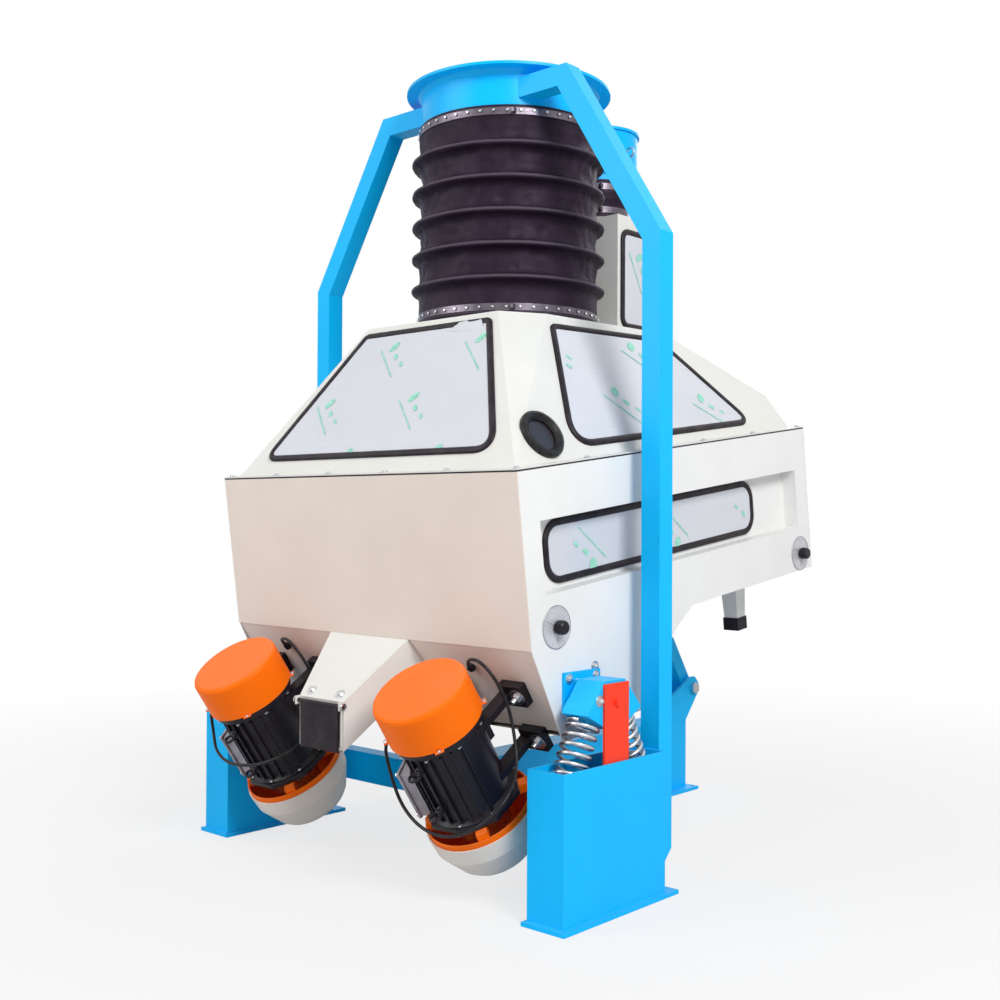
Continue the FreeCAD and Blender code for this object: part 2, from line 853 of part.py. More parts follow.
def motor_plate():
    """The sloping plate under the front that both vibrating motors bolt to."""
    angle = cell("motor_plate_angle")
    thickness = cell("motor_plate_thickness")
    length = cell("motor_plate_length")
    start = cell("end_panel_height") + cell("seat_gap")
    width = cell("body_width") - 2 * cell("sheet")
    down = (sin(angle), -cos(angle))
    back = (cos(angle), sin(angle))
    inset = cell("seat_gap") * 10
    top = (inset, -start)
    points = [top, (top[0] + down[0] * length, top[1] + down[1] * length),
              (top[0] + down[0] * length + back[0] * thickness,
               top[1] + down[1] * length + back[1] * thickness),
              (top[0] + thickness / cos(angle), top[1])]
    body = new_body("motor_plate_sheet")
    pad(body, "YZ_Plane", points, width, -width / 2)
    mouth = shape_feature("motor_plate_mouth", chute_solid(number("sheet"), 80))
    return node(machine_frame(cut("motor_plate", body, [mouth])))


def keel_pan():
    """The folded sheet that closes the box underneath from the motor plate to the deck."""
    plate = cell("sheet")
    foot = plate_foot()
    width = cell("body_width") - 2 * plate
    body = new_body("keel_pan")
    step = cell("motor_plate_thickness") * 2
    knee, knee_depth = cell("keel_knee"), cell("keel_knee_depth")
    points = [(foot[0] + step, -cell("keel_depth")), (cell("keel_rear"), -cell("keel_depth")),
              (knee, -knee_depth), (cell("keel_end"), -cell("rear_panel_height")),
              (cell("keel_end"), plate - cell("rear_panel_height")),
              (knee - 2 * plate, plate - knee_depth),
              (cell("keel_rear") - 2 * plate, plate - cell("keel_depth")),
              (foot[0] + step, plate - cell("keel_depth"))]
    pad(body, "YZ_Plane", points, width, -width / 2)
    return node(machine_frame(body))


def air_plate():
    """Slotted plate under the rear half that evens out the air drawn up through the deck."""
    plate = cell("sheet")
    width = cell("body_width") - 2 * plate
    start = cell("keel_end") + 1
    end = cell("body_length") - cell("panel_return") - 1
    level = -cell("rear_panel_height")
    margin = cell("air_plate_margin")
    rib = cell("air_plate_rib")
    sheet_box = box("air_plate_sheet", (-width / 2, start, level),
                    (width, end - start, plate))
    openings = []
    rows = 6
    pitch = (end - start - 2 * margin) / rows
    for row in range(rows):
        for side in (-1, 1):
            left = -(width / 2 - margin) if side < 0 else rib
            openings.append(box("air_slot_%d_%d" % (row, side),
                                (left, start + margin / 2 + pitch * row, level - plate),
                                (width / 2 - margin - rib, pitch * 0.55, 3 * plate)))
    spout = stone_spout_hole("air_plate_spout")
    return node(machine_frame(cut("air_plate", sheet_box, openings + [spout])))


def stone_spout_hole(name):
    half = 31
    return box(name, (within_box("stone_spout_inset") - half, cell("stone_spout_along") - half,
                      -cell("rear_panel_height") - 20), (2 * half, 2 * half, 60))


def deck(name, depth, bars_across, plate_thickness):
    """A screen tray: a frame with cross bars and a thin screening sheet on top."""
    front = cell("sheet") + cell("seat_gap")
    half = cell("body_width") / 2 - front
    rear = cell("body_length") - front
    rail = cell("deck_frame")
    outside = box(name + "_outside", (-half, front, -depth), (2 * half, rear - front, rail))
    holes = []
    span = (rear - front - rail) / bars_across
    for bay in range(bars_across):
        for side in (-1, 1):
            low = rail / 2 if side > 0 else -half + rail
            holes.append(box("%s_bay_%d_%d" % (name, bay, side),
                             (low, front + rail + span * bay, -depth),
                             (half - rail * 1.5, span - rail, rail - plate_thickness)))
    return node(machine_frame(cut(name, outside, holes)))


# Hood


def world_level(along):
    """Height above the seam plane of the hood's level top, at a place up the deck."""
    tilt = math.radians(number("inclination"))
    rise = number("hood_top") - number("seam_height")
    return (rise - along * math.sin(tilt)) / math.cos(tilt)


def hood_frame():
    """Corner points of the hood's outside, in the machine frame."""
    half = number("body_width") / 2 - number("hood_inset")
    foot = number("gasket") + number("sheet")
    front = number("hood_inset")
    rear = number("body_length") - number("hood_inset")
    brow = number("hood_brow")
    cheek = brow + number("hood_corner_along")
    lean = (half - number("hood_shoulder")) / (world_level(cheek) - foot)
    heel = number("hood_heel_along")
    heel_height = number("hood_heel_height")
    slope = math.tan(math.radians(number("hood_back_slope")))
    tilt = math.tan(math.radians(number("inclination")))
    crown = (world_level(0) - heel_height - slope * heel) / (tilt - slope)

    def across(height):
        return half - lean * (height - foot)

    brow_half = number("hood_shoulder") - number("hood_corner_across")
    right = {
        "foot_front": Vector(half, front, foot),
        "foot_rear": Vector(half, rear, foot),
        "heel": Vector(across(heel_height), heel, heel_height),
        "crown": Vector(across(world_level(crown)), crown, world_level(crown)),
        "cheek": Vector(number("hood_shoulder"), cheek, world_level(cheek)),
        "brow": Vector(brow_half, brow, world_level(brow)),
    }
    left = {key: Vector(-p.x, p.y, p.z) for key, p in right.items()}
    return right, left


def polyhedron(faces):
    shells = [Part.Face(Part.makePolygon(list(face) + [face[0]])) for face in faces]
    solid = Part.makeSolid(Part.makeShell(shells))
    if solid.Volume < 0:
        solid.reverse()
    return solid


def cut_beyond(solid, points, inward, inset):
    """Take away everything outside the plane through three points, moved in by inset."""
    first, second, third = points
    normal = (second - first).cross(third - first).normalize()
    if normal.dot(inward - first) > 0:
        normal = normal * -1
    reach = 4000
    block = Part.makeBox(reach, reach, reach, Vector(-reach / 2, -reach / 2, 0))
    turn = Rotation(Vector(0, 0, 1), normal)
    block.Placement = Placement(first - normal * inset, turn)
    return solid.cut(block)


def hood_solid(inset=0):
    """The hood's outside, or with an inset the room inside it, open downwards."""
    r, l = hood_frame()
    middle = (r["cheek"] + l["crown"]) * 0.5 - Vector(0, 0, 150)
    low = r["foot_front"].z - (60 if inset else 0)
    high = r["brow"].z + 300
    half = number("body_width") / 2
    solid = Part.makeBox(2 * half, number("body_length"), high - low, Vector(-half, 0, low))
    planes = [(r["foot_front"], r["brow"], l["brow"])]
    planes += [(r["brow"], r["crown"], l["crown"]), (r["crown"], r["heel"], l["heel"]),
               (r["heel"], r["foot_rear"], l["foot_rear"])]
    for corner in (r, l):
        planes.append((corner["foot_front"], corner["cheek"], corner["crown"]))
        planes.append((corner["foot_front"], corner["cheek"], corner["brow"]))
    for points in planes:
        solid = cut_beyond(solid, points, middle, inset)
    return solid


def to_machine(point):
    """A stand-frame point at rest, in the machine frame."""
    tilt = math.radians(number("inclination"))
    along = point.y + number("seam_front")
    rise = point.z - number("seam_height")
    return Vector(point.x, along * math.cos(tilt) + rise * math.sin(tilt),
                  rise * math.cos(tilt) - along * math.sin(tilt))


def stand_frame():
    """Where the machine frame stands in the stand frame."""
    return Placement(Vector(0, -number("seam_front"), number("seam_height")),
                     Rotation(Vector(1, 0, 0), number("inclination")))


def upright(shape):
    """A shape drawn in the stand frame, moved into the machine frame."""
    moved = shape.copy()
    moved.Placement = stand_frame().inverse().multiply(moved.Placement)
    return moved


def face_frame(origin, toward, inside):
    """Placement with local x toward, local z square to the face and pointing out."""
    x_axis = (toward - origin).normalize()
    normal = x_axis.cross(inside - origin).normalize()
    y_axis = normal.cross(x_axis)
    matrix = FreeCAD.Matrix(x_axis.x, y_axis.x, normal.x, origin.x,
                            x_axis.y, y_axis.y, normal.y, origin.y,
                            x_axis.z, y_axis.z, normal.z, origin.z, 0, 0, 0, 1)
    return Placement(matrix)


def rounded(points, radii):
    """A planar face with straight sides and tangent arcs at its corners."""
    edges = []
    count = len(points)
    ends = []
    for index in range(count):
        here = points[index]
        before = (points[index - 1] - here).normalize()
        after = (points[(index + 1) % count] - here).normalize()
        half_turn = before.getAngle(after) / 2
        reach = radii[index] / math.tan(half_turn)
        start = here + before * reach
        stop = here + after * reach
        middle = here + (before + after).normalize() * (
            radii[index] / math.sin(half_turn) - radii[index])
        ends.append((start, middle, stop))
    for index in range(count):
        start, middle, stop = ends[index]
        edges.append(Part.Arc(start, middle, stop).toShape())
        edges.append(Part.LineSegment(stop, ends[(index + 1) % count][0]).toShape())
    return Part.Face(Part.Wire(edges))


def inset_outline(points, distance):
    """The same outline with every side moved inwards by distance."""
    count = len(points)
    centre = Vector()
    for point in points:
        centre += point * (1 / count)
    lines = []
    for index in range(count):
        first, second = points[index], points[(index + 1) % count]
        direction = (second - first).normalize()
        normal = Vector(-direction.y, direction.x, 0)
        if normal.dot(centre - first) < 0:
            normal = normal * -1
        lines.append((first + normal * distance, direction))
    result = []
    for index in range(count):
        first, along = lines[index - 1]
        second, cross = lines[index]
        delta = second - first
        determinant = along.x * cross.y - along.y * cross.x
        step = (delta.x * cross.y - delta.y * cross.x) / determinant
        result.append(first + along * step)
    return result


class Window:
    """A glazed opening with a rubber seal: outline in a face's own frame."""

    def __init__(self, frame, points, radii):
        self.frame = frame
        self.points = points
        self.radii = radii

    def prism(self, inset, low, height):
        radii = [max(radius - inset, 4) for radius in self.radii]
        face = rounded(inset_outline(self.points, inset), radii)
        solid = face.extrude(Vector(0, 0, height))
        solid.translate(Vector(0, 0, low))
        solid.Placement = self.frame.multiply(solid.Placement)
        return solid

    def opening(self, wall):
        return self.prism(number("seal_width") - 6, -3 * wall, 6 * wall)

    def seal(self, wall):
        """Lip outside the sheet and a groove that holds the pane in the opening."""
        width = number("seal_width")
        gap = number("seat_gap")
        lip = self.prism(0, gap, number("seal_height") - gap)
        neck = self.prism(width - 6 + gap, -wall - gap, wall + 2 * gap)
        inner = self.prism(width, -wall - 1, wall + number("seal_height") + 2)
        return lip.fuse(neck).cut(inner).removeSplitter()

    def pane(self, wall):
        gap = number("seat_gap")
        return self.prism(number("seal_width") + gap, -wall, number("glass"))


def front_window():
    r, l = hood_frame()
    origin = (r["foot_front"] + l["foot_front"]) * 0.5
    frame = face_frame(origin, r["foot_front"], (r["brow"] + l["brow"]) * 0.5)
    height = (r["brow"] - Vector(r["brow"].x, r["foot_front"].y, r["foot_front"].z)).Length
    low, high = 45.0, height - 22.0
    reach_low, reach_high = 455.0, 245.0
    points = [Vector(-reach_low, low, 0), Vector(reach_low, low, 0),
              Vector(reach_high, high, 0), Vector(-reach_high, high, 0)]
    return Window(frame, points, [34, 48, 26, 26])


def side_hood_window(side):
    r, l = hood_frame()
    corner = r if side > 0 else l
    front, rear = corner["foot_front"], corner["foot_rear"]
    frame = face_frame(front, rear, corner["crown"])
    if side < 0:
        frame = face_frame(rear, front, corner["crown"])
    span = (rear - front).Length
    start = number("hood_inset")
    foot = number("hood_glass_foot")
    outline_points = [Vector(number("hood_glass_foot_start") - start, foot, 0),
                      Vector(number("hood_glass_foot_end") - start, foot, 0),
                      Vector(number("hood_glass_top_end") - start,
                             number("hood_glass_end_height"), 0),
                      Vector(number("hood_glass_top_start") - start,
                             number("hood_glass_start_height"), 0)]
    radii = [62, 34, 40, 26]
    if side < 0:
        outline_points = [Vector(span - p.x, p.y, 0) for p in outline_points][::-1]
        radii = radii[::-1]
    return Window(frame, outline_points, radii)


def side_window(side):
    """The long window sits on the bottom of the recessed field."""
    plane = number("body_width") / 2 - number("field_depth")
    low, high = -number("side_window_bottom"), -number("side_window_top")
    front, rear = number("side_window_front"), number("side_window_rear")
    turn = Rotation(Vector(0, 1, 0), Vector(0, 0, 1), Vector(1, 0, 0))
    sign = 1
    if side < 0:
        turn = Rotation(Vector(0, -1, 0), Vector(0, 0, 1), Vector(-1, 0, 0))
        sign = -1
    frame = Placement(Vector(side * plane, 0, 0), turn)
    ends = sorted((sign * front, sign * rear))
    points = [Vector(ends[0], low, 0), Vector(ends[1], low, 0), Vector(ends[1], high, 0),
              Vector(ends[0], high, 0)]
    return Window(frame, points, [number("side_window_round")] * 4)


def hopper_window(side):
    """The sight glass in each cheek of the feed hopper, upright in the stand frame."""
    half = number("hopper_half_width")
    front = number("hopper_front")
    depth = number("hopper_depth")
    low = number("hopper_foot") + number("hopper_window_rise")
    high = number("hopper_top") - number("hopper_window_margin")
    inset = number("hopper_window_inset")
    turn = Rotation(Vector(0, 1, 0), Vector(0, 0, 1), Vector(1, 0, 0))
    ends = (front + inset, front + depth - inset)
    if side < 0:
        turn = Rotation(Vector(0, -1, 0), Vector(0, 0, 1), Vector(-1, 0, 0))
        ends = (-front - depth + inset, -front - inset)
    frame = stand_frame().inverse().multiply(Placement(Vector(side * half, 0, 0), turn))
    points = [Vector(ends[0], low, 0), Vector(ends[1], low, 0), Vector(ends[1], high, 0),
              Vector(ends[0], high, 0)]
    return Window(frame, points, [number("hopper_window_round")] * 4)


def hood_windows():
    return [front_window(), side_hood_window(1), side_hood_window(-1)]


def hood_shell():
    """Folded sheet hood: four leaning faces, corner facets, level top and a duct collar."""
    wall = number("sheet")
    shell = hood_solid().cut(hood_solid(wall))
    half = number("body_width") / 2
    foot = number("gasket")
    length = number("body_length")
    inset = number("hood_inset") + wall
    flange = Part.makeBox(2 * half, length, wall, Vector(-half, 0, foot))
    hole = Part.makeBox(2 * (half - inset), length - 2 * inset, 3 * wall,
                        Vector(inset - half, inset, foot - wall))
    solid = shell.fuse(flange.cut(hole))
    pipe = number("suction_pipe_radius")
    bore = pipe - number("suction_pipe_wall")
    top = number("hood_top")
    rise = number("hood_collar_height")
    collar = Part.makeCylinder(pipe, rise + wall, Vector(0, 0, top - wall))
    duct = Part.makeCylinder(bore, rise + 6 * wall, Vector(0, 0, top - 3 * wall))
    solid = solid.fuse(upright(collar)).cut(upright(duct))
    for window in hood_windows():
        solid = solid.cut(window.opening(wall))
    solid = solid.cut(lamp_hole())
    solid = solid.cut(hopper_hole())
    return node(machine_frame(shape_feature("hood_shell", solid.removeSplitter())))


def hood_gasket():
    """The dark strip between the box and the hood flange."""
    width = cell("body_width")
    length = cell("body_length")
    inset = cell("hood_inset")
    base = box("gasket_outside", (-width / 2, 0, 0), (width, length, cell("gasket")))
    hole = box("gasket_inside", (inset - width / 2, inset, -1),
               (width - 2 * inset, length - 2 * inset, cell("gasket") + 2))
    return node(machine_frame(cut("hood_gasket", base, [hole])))


def window_seals(label, windows):
    shapes = [window.seal(number("sheet")) for window in windows]
    return node(machine_frame(shape_feature(label, Part.makeCompound(shapes))))


def window_panes(label, windows):
    shapes = [window.pane(number("sheet")) for window in windows]
    return node(machine_frame(shape_feature(label, Part.makeCompound(shapes))))


# Lamp on the hood's right side

def lamp_place():
    r, l = hood_frame()
    frame = face_frame(r["foot_front"], r["foot_rear"], r["crown"])
    spot = Vector(number("lamp_along"), number("lamp_up"), 0)
    return frame.multiply(Placement(spot, Rotation()))


def lamp_hole():
    hole = Part.makeCylinder(number("lamp_radius") - 14, 40, Vector(0, 0, -20))
    hole.Placement = lamp_place()
    return hole


def lamp_bezel():
    """Round black lamp housing with a rounded rim, let into the hood."""
    radius = number("lamp_radius")
    gap = number("seat_gap")
    profile = Part.makePolygon([Vector(radius - 24, 0, 4), Vector(radius - 18, 0, gap),
                                Vector(radius, 0, gap), Vector(radius, 0, 8),
                                Vector(radius - 5, 0, 15), Vector(radius - 12, 0, 17),
                                Vector(radius - 20, 0, 10), Vector(radius - 24, 0, 4)])
    ring = Part.Face(profile).revolve(Vector(), Vector(0, 0, 1), 360)
    cup = Part.makeCylinder(radius - 15, 34, Vector(0, 0, -34 + gap))
    hollow = Part.makeCylinder(radius - 18, 32 + 30, Vector(0, 0, -31))
    body = cup.fuse(Part.makeCylinder(radius - 14.5, gap, Vector(0, 0, gap)))
    solid = cup.fuse(Part.makeCylinder(radius - 10, 4, Vector(0, 0, gap))).cut(hollow)
    solid = solid.fuse(ring).removeSplitter()
    solid.Placement = lamp_place()
    return node(machine_frame(shape_feature("lamp_bezel", solid)))


def lamp_lens():
    radius = number("lamp_radius") - 18 - number("seat_gap")
    dome = Part.makeCylinder(radius, 6, Vector(0, 0, -6))
    dome.Placement = lamp_place()
    return node(machine_frame(shape_feature("lamp_lens", dome)))


# Feed hopper


def hopper_outside(inset):
    half = number("hopper_half_width") - inset
    front = number("hopper_front") + inset
    depth = number("hopper_depth") - 2 * inset
    top = number("hopper_top") - inset
    low = number("hopper_foot") - inset
    return Part.makeBox(2 * half, depth, top - low, Vector(-half, front, low))


def hopper_hole():
    """The hopper stands through the sloping back of the hood."""
    return upright(hopper_outside(-number("seat_gap") / 3))


def feed_hopper():
    """Upright feed box with a neck on top, two sight glasses and an inner spreader lip."""
    wall = number("sheet")
    outside = hopper_outside(0)
    half = number("hopper_half_width")
    inside = Part.makeBox(2 * (half - wall), number("hopper_depth") - 2 * wall,
                          number("hopper_top") - wall - number("hopper_foot") + 50,
                          Vector(wall - half, number("hopper_front") + wall,
                                 number("hopper_foot") - 50))
    shell = outside.cut(inside)
    neck = number("neck_radius")
    centre = feed_centre().value
    top = number("hopper_top")
    pipe = Part.makeCylinder(neck, number("neck_height"), Vector(0, centre, top - wall))
    bore = Part.makeCylinder(neck - number("bellows_wall"), number("neck_height") + 40,
                             Vector(0, centre, top - 20))
    shell = shell.fuse(pipe).cut(bore)
    for side in (-1, 1):
        opening = hopper_window(side).opening(wall)
        opening.Placement = stand_frame().multiply(opening.Placement)
        shell = shell.cut(opening)
        eye = Part.makeCylinder(8.3, 30, Vector(side * half - 15, gate_axis().y,
                                                gate_axis().z), Vector(1, 0, 0))
        shell = shell.cut(eye)
    hopper = upright(shell.removeSplitter())
    return node(machine_frame(shape_feature("feed_hopper", hopper)))


def gate_axis():
    return Vector(0, number("hopper_front") + number("gate_inset"),
                  number("hopper_foot") + number("gate_rise"))


def feed_gate():
    """The weighted flap under the hopper that spreads the grain over the screen."""
    axis = gate_axis()
    half = number("hopper_half_width")
    clear = number("sheet") + 3
    pin = Part.makeCylinder(8, 2 * half + 24, Vector(-half - 12, axis.y, axis.z),
                            Vector(1, 0, 0))
    blade = Part.makeBox(2 * (half - clear), 4, number("hopper_depth") - 62,
                         Vector(clear - half, -2, -(number("hopper_depth") - 62)))
    turn = Placement(Vector(0, axis.y, axis.z),
                     Rotation(Vector(1, 0, 0), 90 - number("gate_tilt")))
    blade.Placement = turn
    solid = pin.fuse(blade).removeSplitter()
    return node(machine_frame(shape_feature("feed_gate", upright(solid))))


# Product chute and stone spout


def world_run(along, down):
    """Distance behind the chute's tip, measured level, for a machine-frame place."""
    tilt = math.radians(number("inclination"))
    tip = number("chute_tip_along") * math.cos(tilt) + number("chute_tip_depth") * math.sin(tilt)
    return along * math.cos(tilt) + down * math.sin(tilt) - tip


def chute_corners(inset):
    """Top and bottom lines of the chute in the machine frame, front to back."""
    tilt = math.radians(number("inclination"))
    tip = Vector(0, number("chute_tip_along"), -number("chute_tip_depth"))
    root = Vector(0, 0, -number("end_panel_height") - number("seat_gap"))
    slope = (root - tip).normalize()
    fall = Vector(0, -math.sin(tilt), -math.cos(tilt)) * number("chute_height")
    square = Vector(0, -slope.z, slope.y) * -1
    top_front = tip + square * inset
    top_back = root + slope * 12 + square * inset
    low_front = tip + fall - square * inset
    angle = math.radians(number("motor_plate_angle"))
    plate_down = Vector(0, math.sin(angle), -math.cos(angle))
    plate_point = Vector(0, 3, -number("end_panel_height"))
    normal = Vector(0, math.cos(angle), math.sin(angle))
    reach = normal.dot(plate_point - low_front) / normal.dot(slope)
    low_back = low_front + slope * (reach + 12)
    return top_front, top_back, low_back, low_front


def chute_solid(inset, past):
    top_front, top_back, low_back, low_front = chute_corners(inset)
    slope = (top_back - top_front).normalize()
    top_front = top_front - slope * past
    low_front = low_front - slope * past
    top_back = top_back + slope * past
    low_back = low_back + slope * past

    def corner(point, side):
        half = (number("chute_tip_half_width") - inset
                + number("chute_taper") * world_run(point.y, -point.z))
        return Vector(side * half, point.y, point.z)

    r = [corner(p, 1) for p in (top_front, top_back, low_back, low_front)]
    l = [corner(p, -1) for p in (top_front, top_back, low_back, low_front)]
    faces = [r, l]
    for index in range(4):
        after = (index + 1) % 4
        faces.append([r[index], r[after], l[after], l[index]])
    return polyhedron(faces)


def product_chute():
    """The sloping discharge duct between the motors, with two ears that hold the flap's rod."""
    wall = number("sheet")
    solid = chute_solid(0, 0).cut(chute_solid(wall, 30))
    behind = Part.makeBox(800, 400, 800, Vector(-400, 0, -400))
    behind.Placement = Placement(
        Vector(0, 3, -number("end_panel_height") - number("seat_gap")),
        Rotation(Vector(1, 0, 0), number("motor_plate_angle")))
    behind.translate(Vector(0, -number("seat_gap"), 0))
    above = Part.makeBox(800, 400, 400, Vector(
        -400, -200, -number("end_panel_height") - number("seat_gap")))
    solid = solid.cut(behind).cut(above)
    axis = flap_axis()
    half = number("chute_tip_half_width")
    for side in (-1, 1):
        ear = Part.makeBox(wall, 26, 22, Vector(-wall / 2, -9, -11))
        ear.Placement = Placement(axis + Vector(side * (half - wall / 2), 0, 0),
                                  Rotation(Vector(1, 0, 0), -number("inclination")))
        solid = solid.fuse(ear)
    bore = Part.makeCylinder(number("rod_radius") + number("bearing_clearance"), 4 * half,
                             axis - Vector(2 * half, 0, 0), Vector(1, 0, 0))
    return node(machine_frame(shape_feature("product_chute", solid.cut(bore))))


def flap_axis():
    tip = Vector(0, number("chute_tip_along"), -number("chute_tip_depth"))
    return tip + Vector(0, -7, -9)


def outlet_flap():
    """The rubber flap that hangs on a rod across the end of the chute."""
    axis = flap_axis()
    half = number("chute_tip_half_width") - 14
    thickness = number("flap_thickness")
    length = number("chute_height") - 8
    reach = number("chute_tip_half_width") + 5
    rod = Part.makeCylinder(number("rod_radius"), 2 * reach, Vector(-reach, 0, 0),
                            Vector(1, 0, 0))
    sheet_box = Part.makeBox(2 * half, thickness, length,
                             Vector(-half, -thickness / 2, -length))
    solid = rod.fuse(sheet_box).removeSplitter()
    solid.Placement = Placement(axis, Rotation(Vector(1, 0, 0), -number("inclination")))
    return node(machine_frame(shape_feature("outlet_flap", solid)))


def stone_spout():
    """The tapered stone outlet under the high end."""
    across = float(within_box("stone_spout_inset"))
    along = number("stone_spout_along")
    level = -number("rear_panel_height")
    drop = number("stone_spout_length")

    def taper(top_half, low_half):
        top = Part.makePolygon([Vector(across + a * top_half, along + b * top_half, level)
                                for a, b in ((-1, -1), (1, -1), (1, 1), (-1, 1), (-1, -1))])
        low = Part.makePolygon([Vector(across + a * low_half, along + b * low_half,
                                       level - drop)
                                for a, b in ((-1, -1), (1, -1), (1, 1), (-1, 1), (-1, -1))])
        return Part.makeLoft([top, low], True, True)

    wall = number("sheet")
    flange = Part.makeBox(90, 90, wall, Vector(across - 45, along - 45, level - wall))
    bore = Part.makeBox(54, 54, 20, Vector(across - 27, along - 27, level - 10))
    solid = taper(30, 23).fuse(flange).cut(taper(27, 20)).cut(bore)
    return node(machine_frame(shape_feature("stone_spout", solid.removeSplitter())))


def stone_sleeve():
    """The rubber lip that closes the stone spout's mouth."""
    across = float(within_box("stone_spout_inset"))
    along = number("stone_spout_along")
    level = -number("rear_panel_height") - number("stone_spout_length")
    outer = Part.makeBox(54, 54, 40, Vector(across - 27, along - 27, level - 22))
    bore = Part.makeBox(48, 48, 60, Vector(across - 24, along - 24, level - 30))
    return node(machine_frame(shape_feature("stone_sleeve", outer.cut(bore))))


# Motors


def motor_centre():
    """Centre of a motor's axis in the machine frame (u, w)."""
    angle = cell("motor_plate_angle")
    down = cell("motor_down_plate")
    height = cell("motor_foot_height")
    start = cell("end_panel_height") + cell("seat_gap")
    along = cell("seat_gap") * 10 + down * sin(angle) - height * cos(angle)
    deep = -start - down * cos(angle) - height * sin(angle)
    return along, deep


def motor_frame(obj, side):
    """Stand a piece drawn about the motor's own axis on the sloping plate."""
    along, deep = motor_centre()
    tilt = cell("inclination")
    base = (side * within_box("motor_inset"),
            along * cos(tilt) - deep * sin(tilt) - cell("seam_front"),
            along * sin(tilt) + deep * cos(tilt) + cell("seam_height"))
    bind_placement(obj, base, (1, 0, 0), tilt + cell("motor_plate_angle"))
    return obj


FOOT_LEVELS = (-62, 78)


def motor_body(side, name):
    """Ribbed motor shell with end flanges and two pairs of feet."""
    radius = cell("motor_body_radius")
    half = cell("motor_half_length")
    flange = cell("motor_flange_radius")
    width = cell("motor_flange_width")
    bore = cell("shaft_radius") + cell("bearing_clearance")
    shell = turned(name + "_shell",
                   [(bore, -half), (flange, -half), (flange, width - half),
                    (radius, width - half + 8), (radius, half - width - 8),
                    (flange, half - width), (flange, half), (bore, half)])
    height = cell("motor_foot_height")
    feet = []
    for across in (-1, 1):
        for level in FOOT_LEVELS:
            feet.append(box("%s_foot_%d_%d" % (name, across, level),
                            (across * 98 - 36, height - 24, level - 30), (72, 24, 60)))
            feet.append(box("%s_web_%d_%d" % (name, across, level),
                            (across * 76 - 18, 30, level - 9), (36, height - 50, 18)))
    ribs = []
    for index in range(10):
        angle = 198 + index * 16
        rib = box("%s_rib_%d" % (name, index), (-2.5, 0, -half + width + 8),
                  (5, radius + 8, 2 * half - 2 * width - 16))
        rib.Placement = Placement(Vector(0, 0, 0), Rotation(Vector(0, 0, 1), angle - 90))
        bind(rib, "Placement.Base.x", -2.5 * round(math.cos(math.radians(angle - 90)), 5)
             + 0 * radius)
        ribs.append(rib)
    core = cylinder(name + "_rib_core", radius * 0.8, 2 * half, (0, 0, -half))
    fins = cut(name + "_fins", fuse(name + "_ribs", ribs), [core])
    holes = [cylinder("%s_bolt_%d_%d" % (name, a, b), 7, 60,
                      (a * 114, height - 40, b), (1, 0, 0), -90)
             for a in (-1, 1) for b in FOOT_LEVELS]
    bore_cut = cylinder(name + "_bore", bore, 4 * half, (0, 0, -2 * half))
    solid = fuse(name + "_solid", [shell, fins] + feet)
    return node(motor_frame(cut(name, solid, holes + [bore_cut]), side))


def motor_cap(side, name):
    """The round cap over the upper weights, screwed to the motor's end flange."""
    half = cell("motor_half_length")
    radius = cell("cap_radius")
    wall = cell("cap_wall")
    length = cell("cap_length")
    top = half + length
    edge = 10
    body = turned(name, [(cell("motor_flange_radius") - 14, half), (radius, half),
                         (radius, top - edge), (radius - edge * 0.3, top - edge * 0.3),
                         (radius - edge, top), (0, top), (0, top - wall),
                         (radius - edge, top - wall), (radius - wall, top - edge),
                         (radius - wall, half + wall),
                         (cell("motor_flange_radius") - 14, half + wall)])
    return node(motor_frame(body, side))


def guard_profile(outer_rim, outer_foot, wall, rim_level, foot_level):
    """Half section of a tapering cup, open at its rim."""
    return [(outer_rim, rim_level), (outer_rim - 3, rim_level - 46),
            (outer_foot + 12, foot_level + 14), (outer_foot, foot_level), (0, foot_level),
            (0, foot_level + wall), (outer_foot - wall * 0.4, foot_level + wall),
            (outer_foot + 12 - wall, foot_level + 14 + wall * 0.6),
            (outer_rim - 3 - wall, rim_level - 46 + wall * 0.3), (outer_rim - wall, rim_level)]


def lower_levels():
    half = cell("motor_half_length")
    rim = -half - cell("guard_rim_gap")
    return rim, rim - cell("guard_length")


def motor_lower_cap(side, name):
    """The lower weights' cup, hung from the motor's end flange on four lugs."""
    rim, foot = lower_levels()
    wall = cell("cap_wall")
    half = cell("motor_half_length")
    step = wall + cell("seat_gap")
    cup = turned(name + "_cup",
                 guard_profile(cell("guard_rim_radius") - step,
                               cell("guard_foot_radius") - step, wall,
                               rim + cell("liner_rise"), foot + step))
    lugs = []
    for index in range(4):
        lug = box("%s_lug_%d" % (name, index), (cell("weight_radius") + 4, -14, -half - 24),
                  (cell("guard_rim_radius") - cell("weight_radius") - 14, 28, 24))
        turn = Placement(Vector(0, 0, 0), Rotation(Vector(0, 0, 1), 45 + 90 * index))
        lug.Placement = turn.multiply(lug.Placement)
        lug.setExpression("Placement.Base.x", None)
        lug.setExpression("Placement.Base.y", None)
        lugs.append(lug)
    return motor_frame(fuse(name, [cup] + lugs), side)


def motor_guard(side, name):
    """The pale outer cup round the lower weights' cup."""
    rim, foot = lower_levels()
    body = turned(name, guard_profile(cell("guard_rim_radius"), cell("guard_foot_radius"),
                                      cell("cap_wall"), rim, foot))
    return motor_frame(body, side)


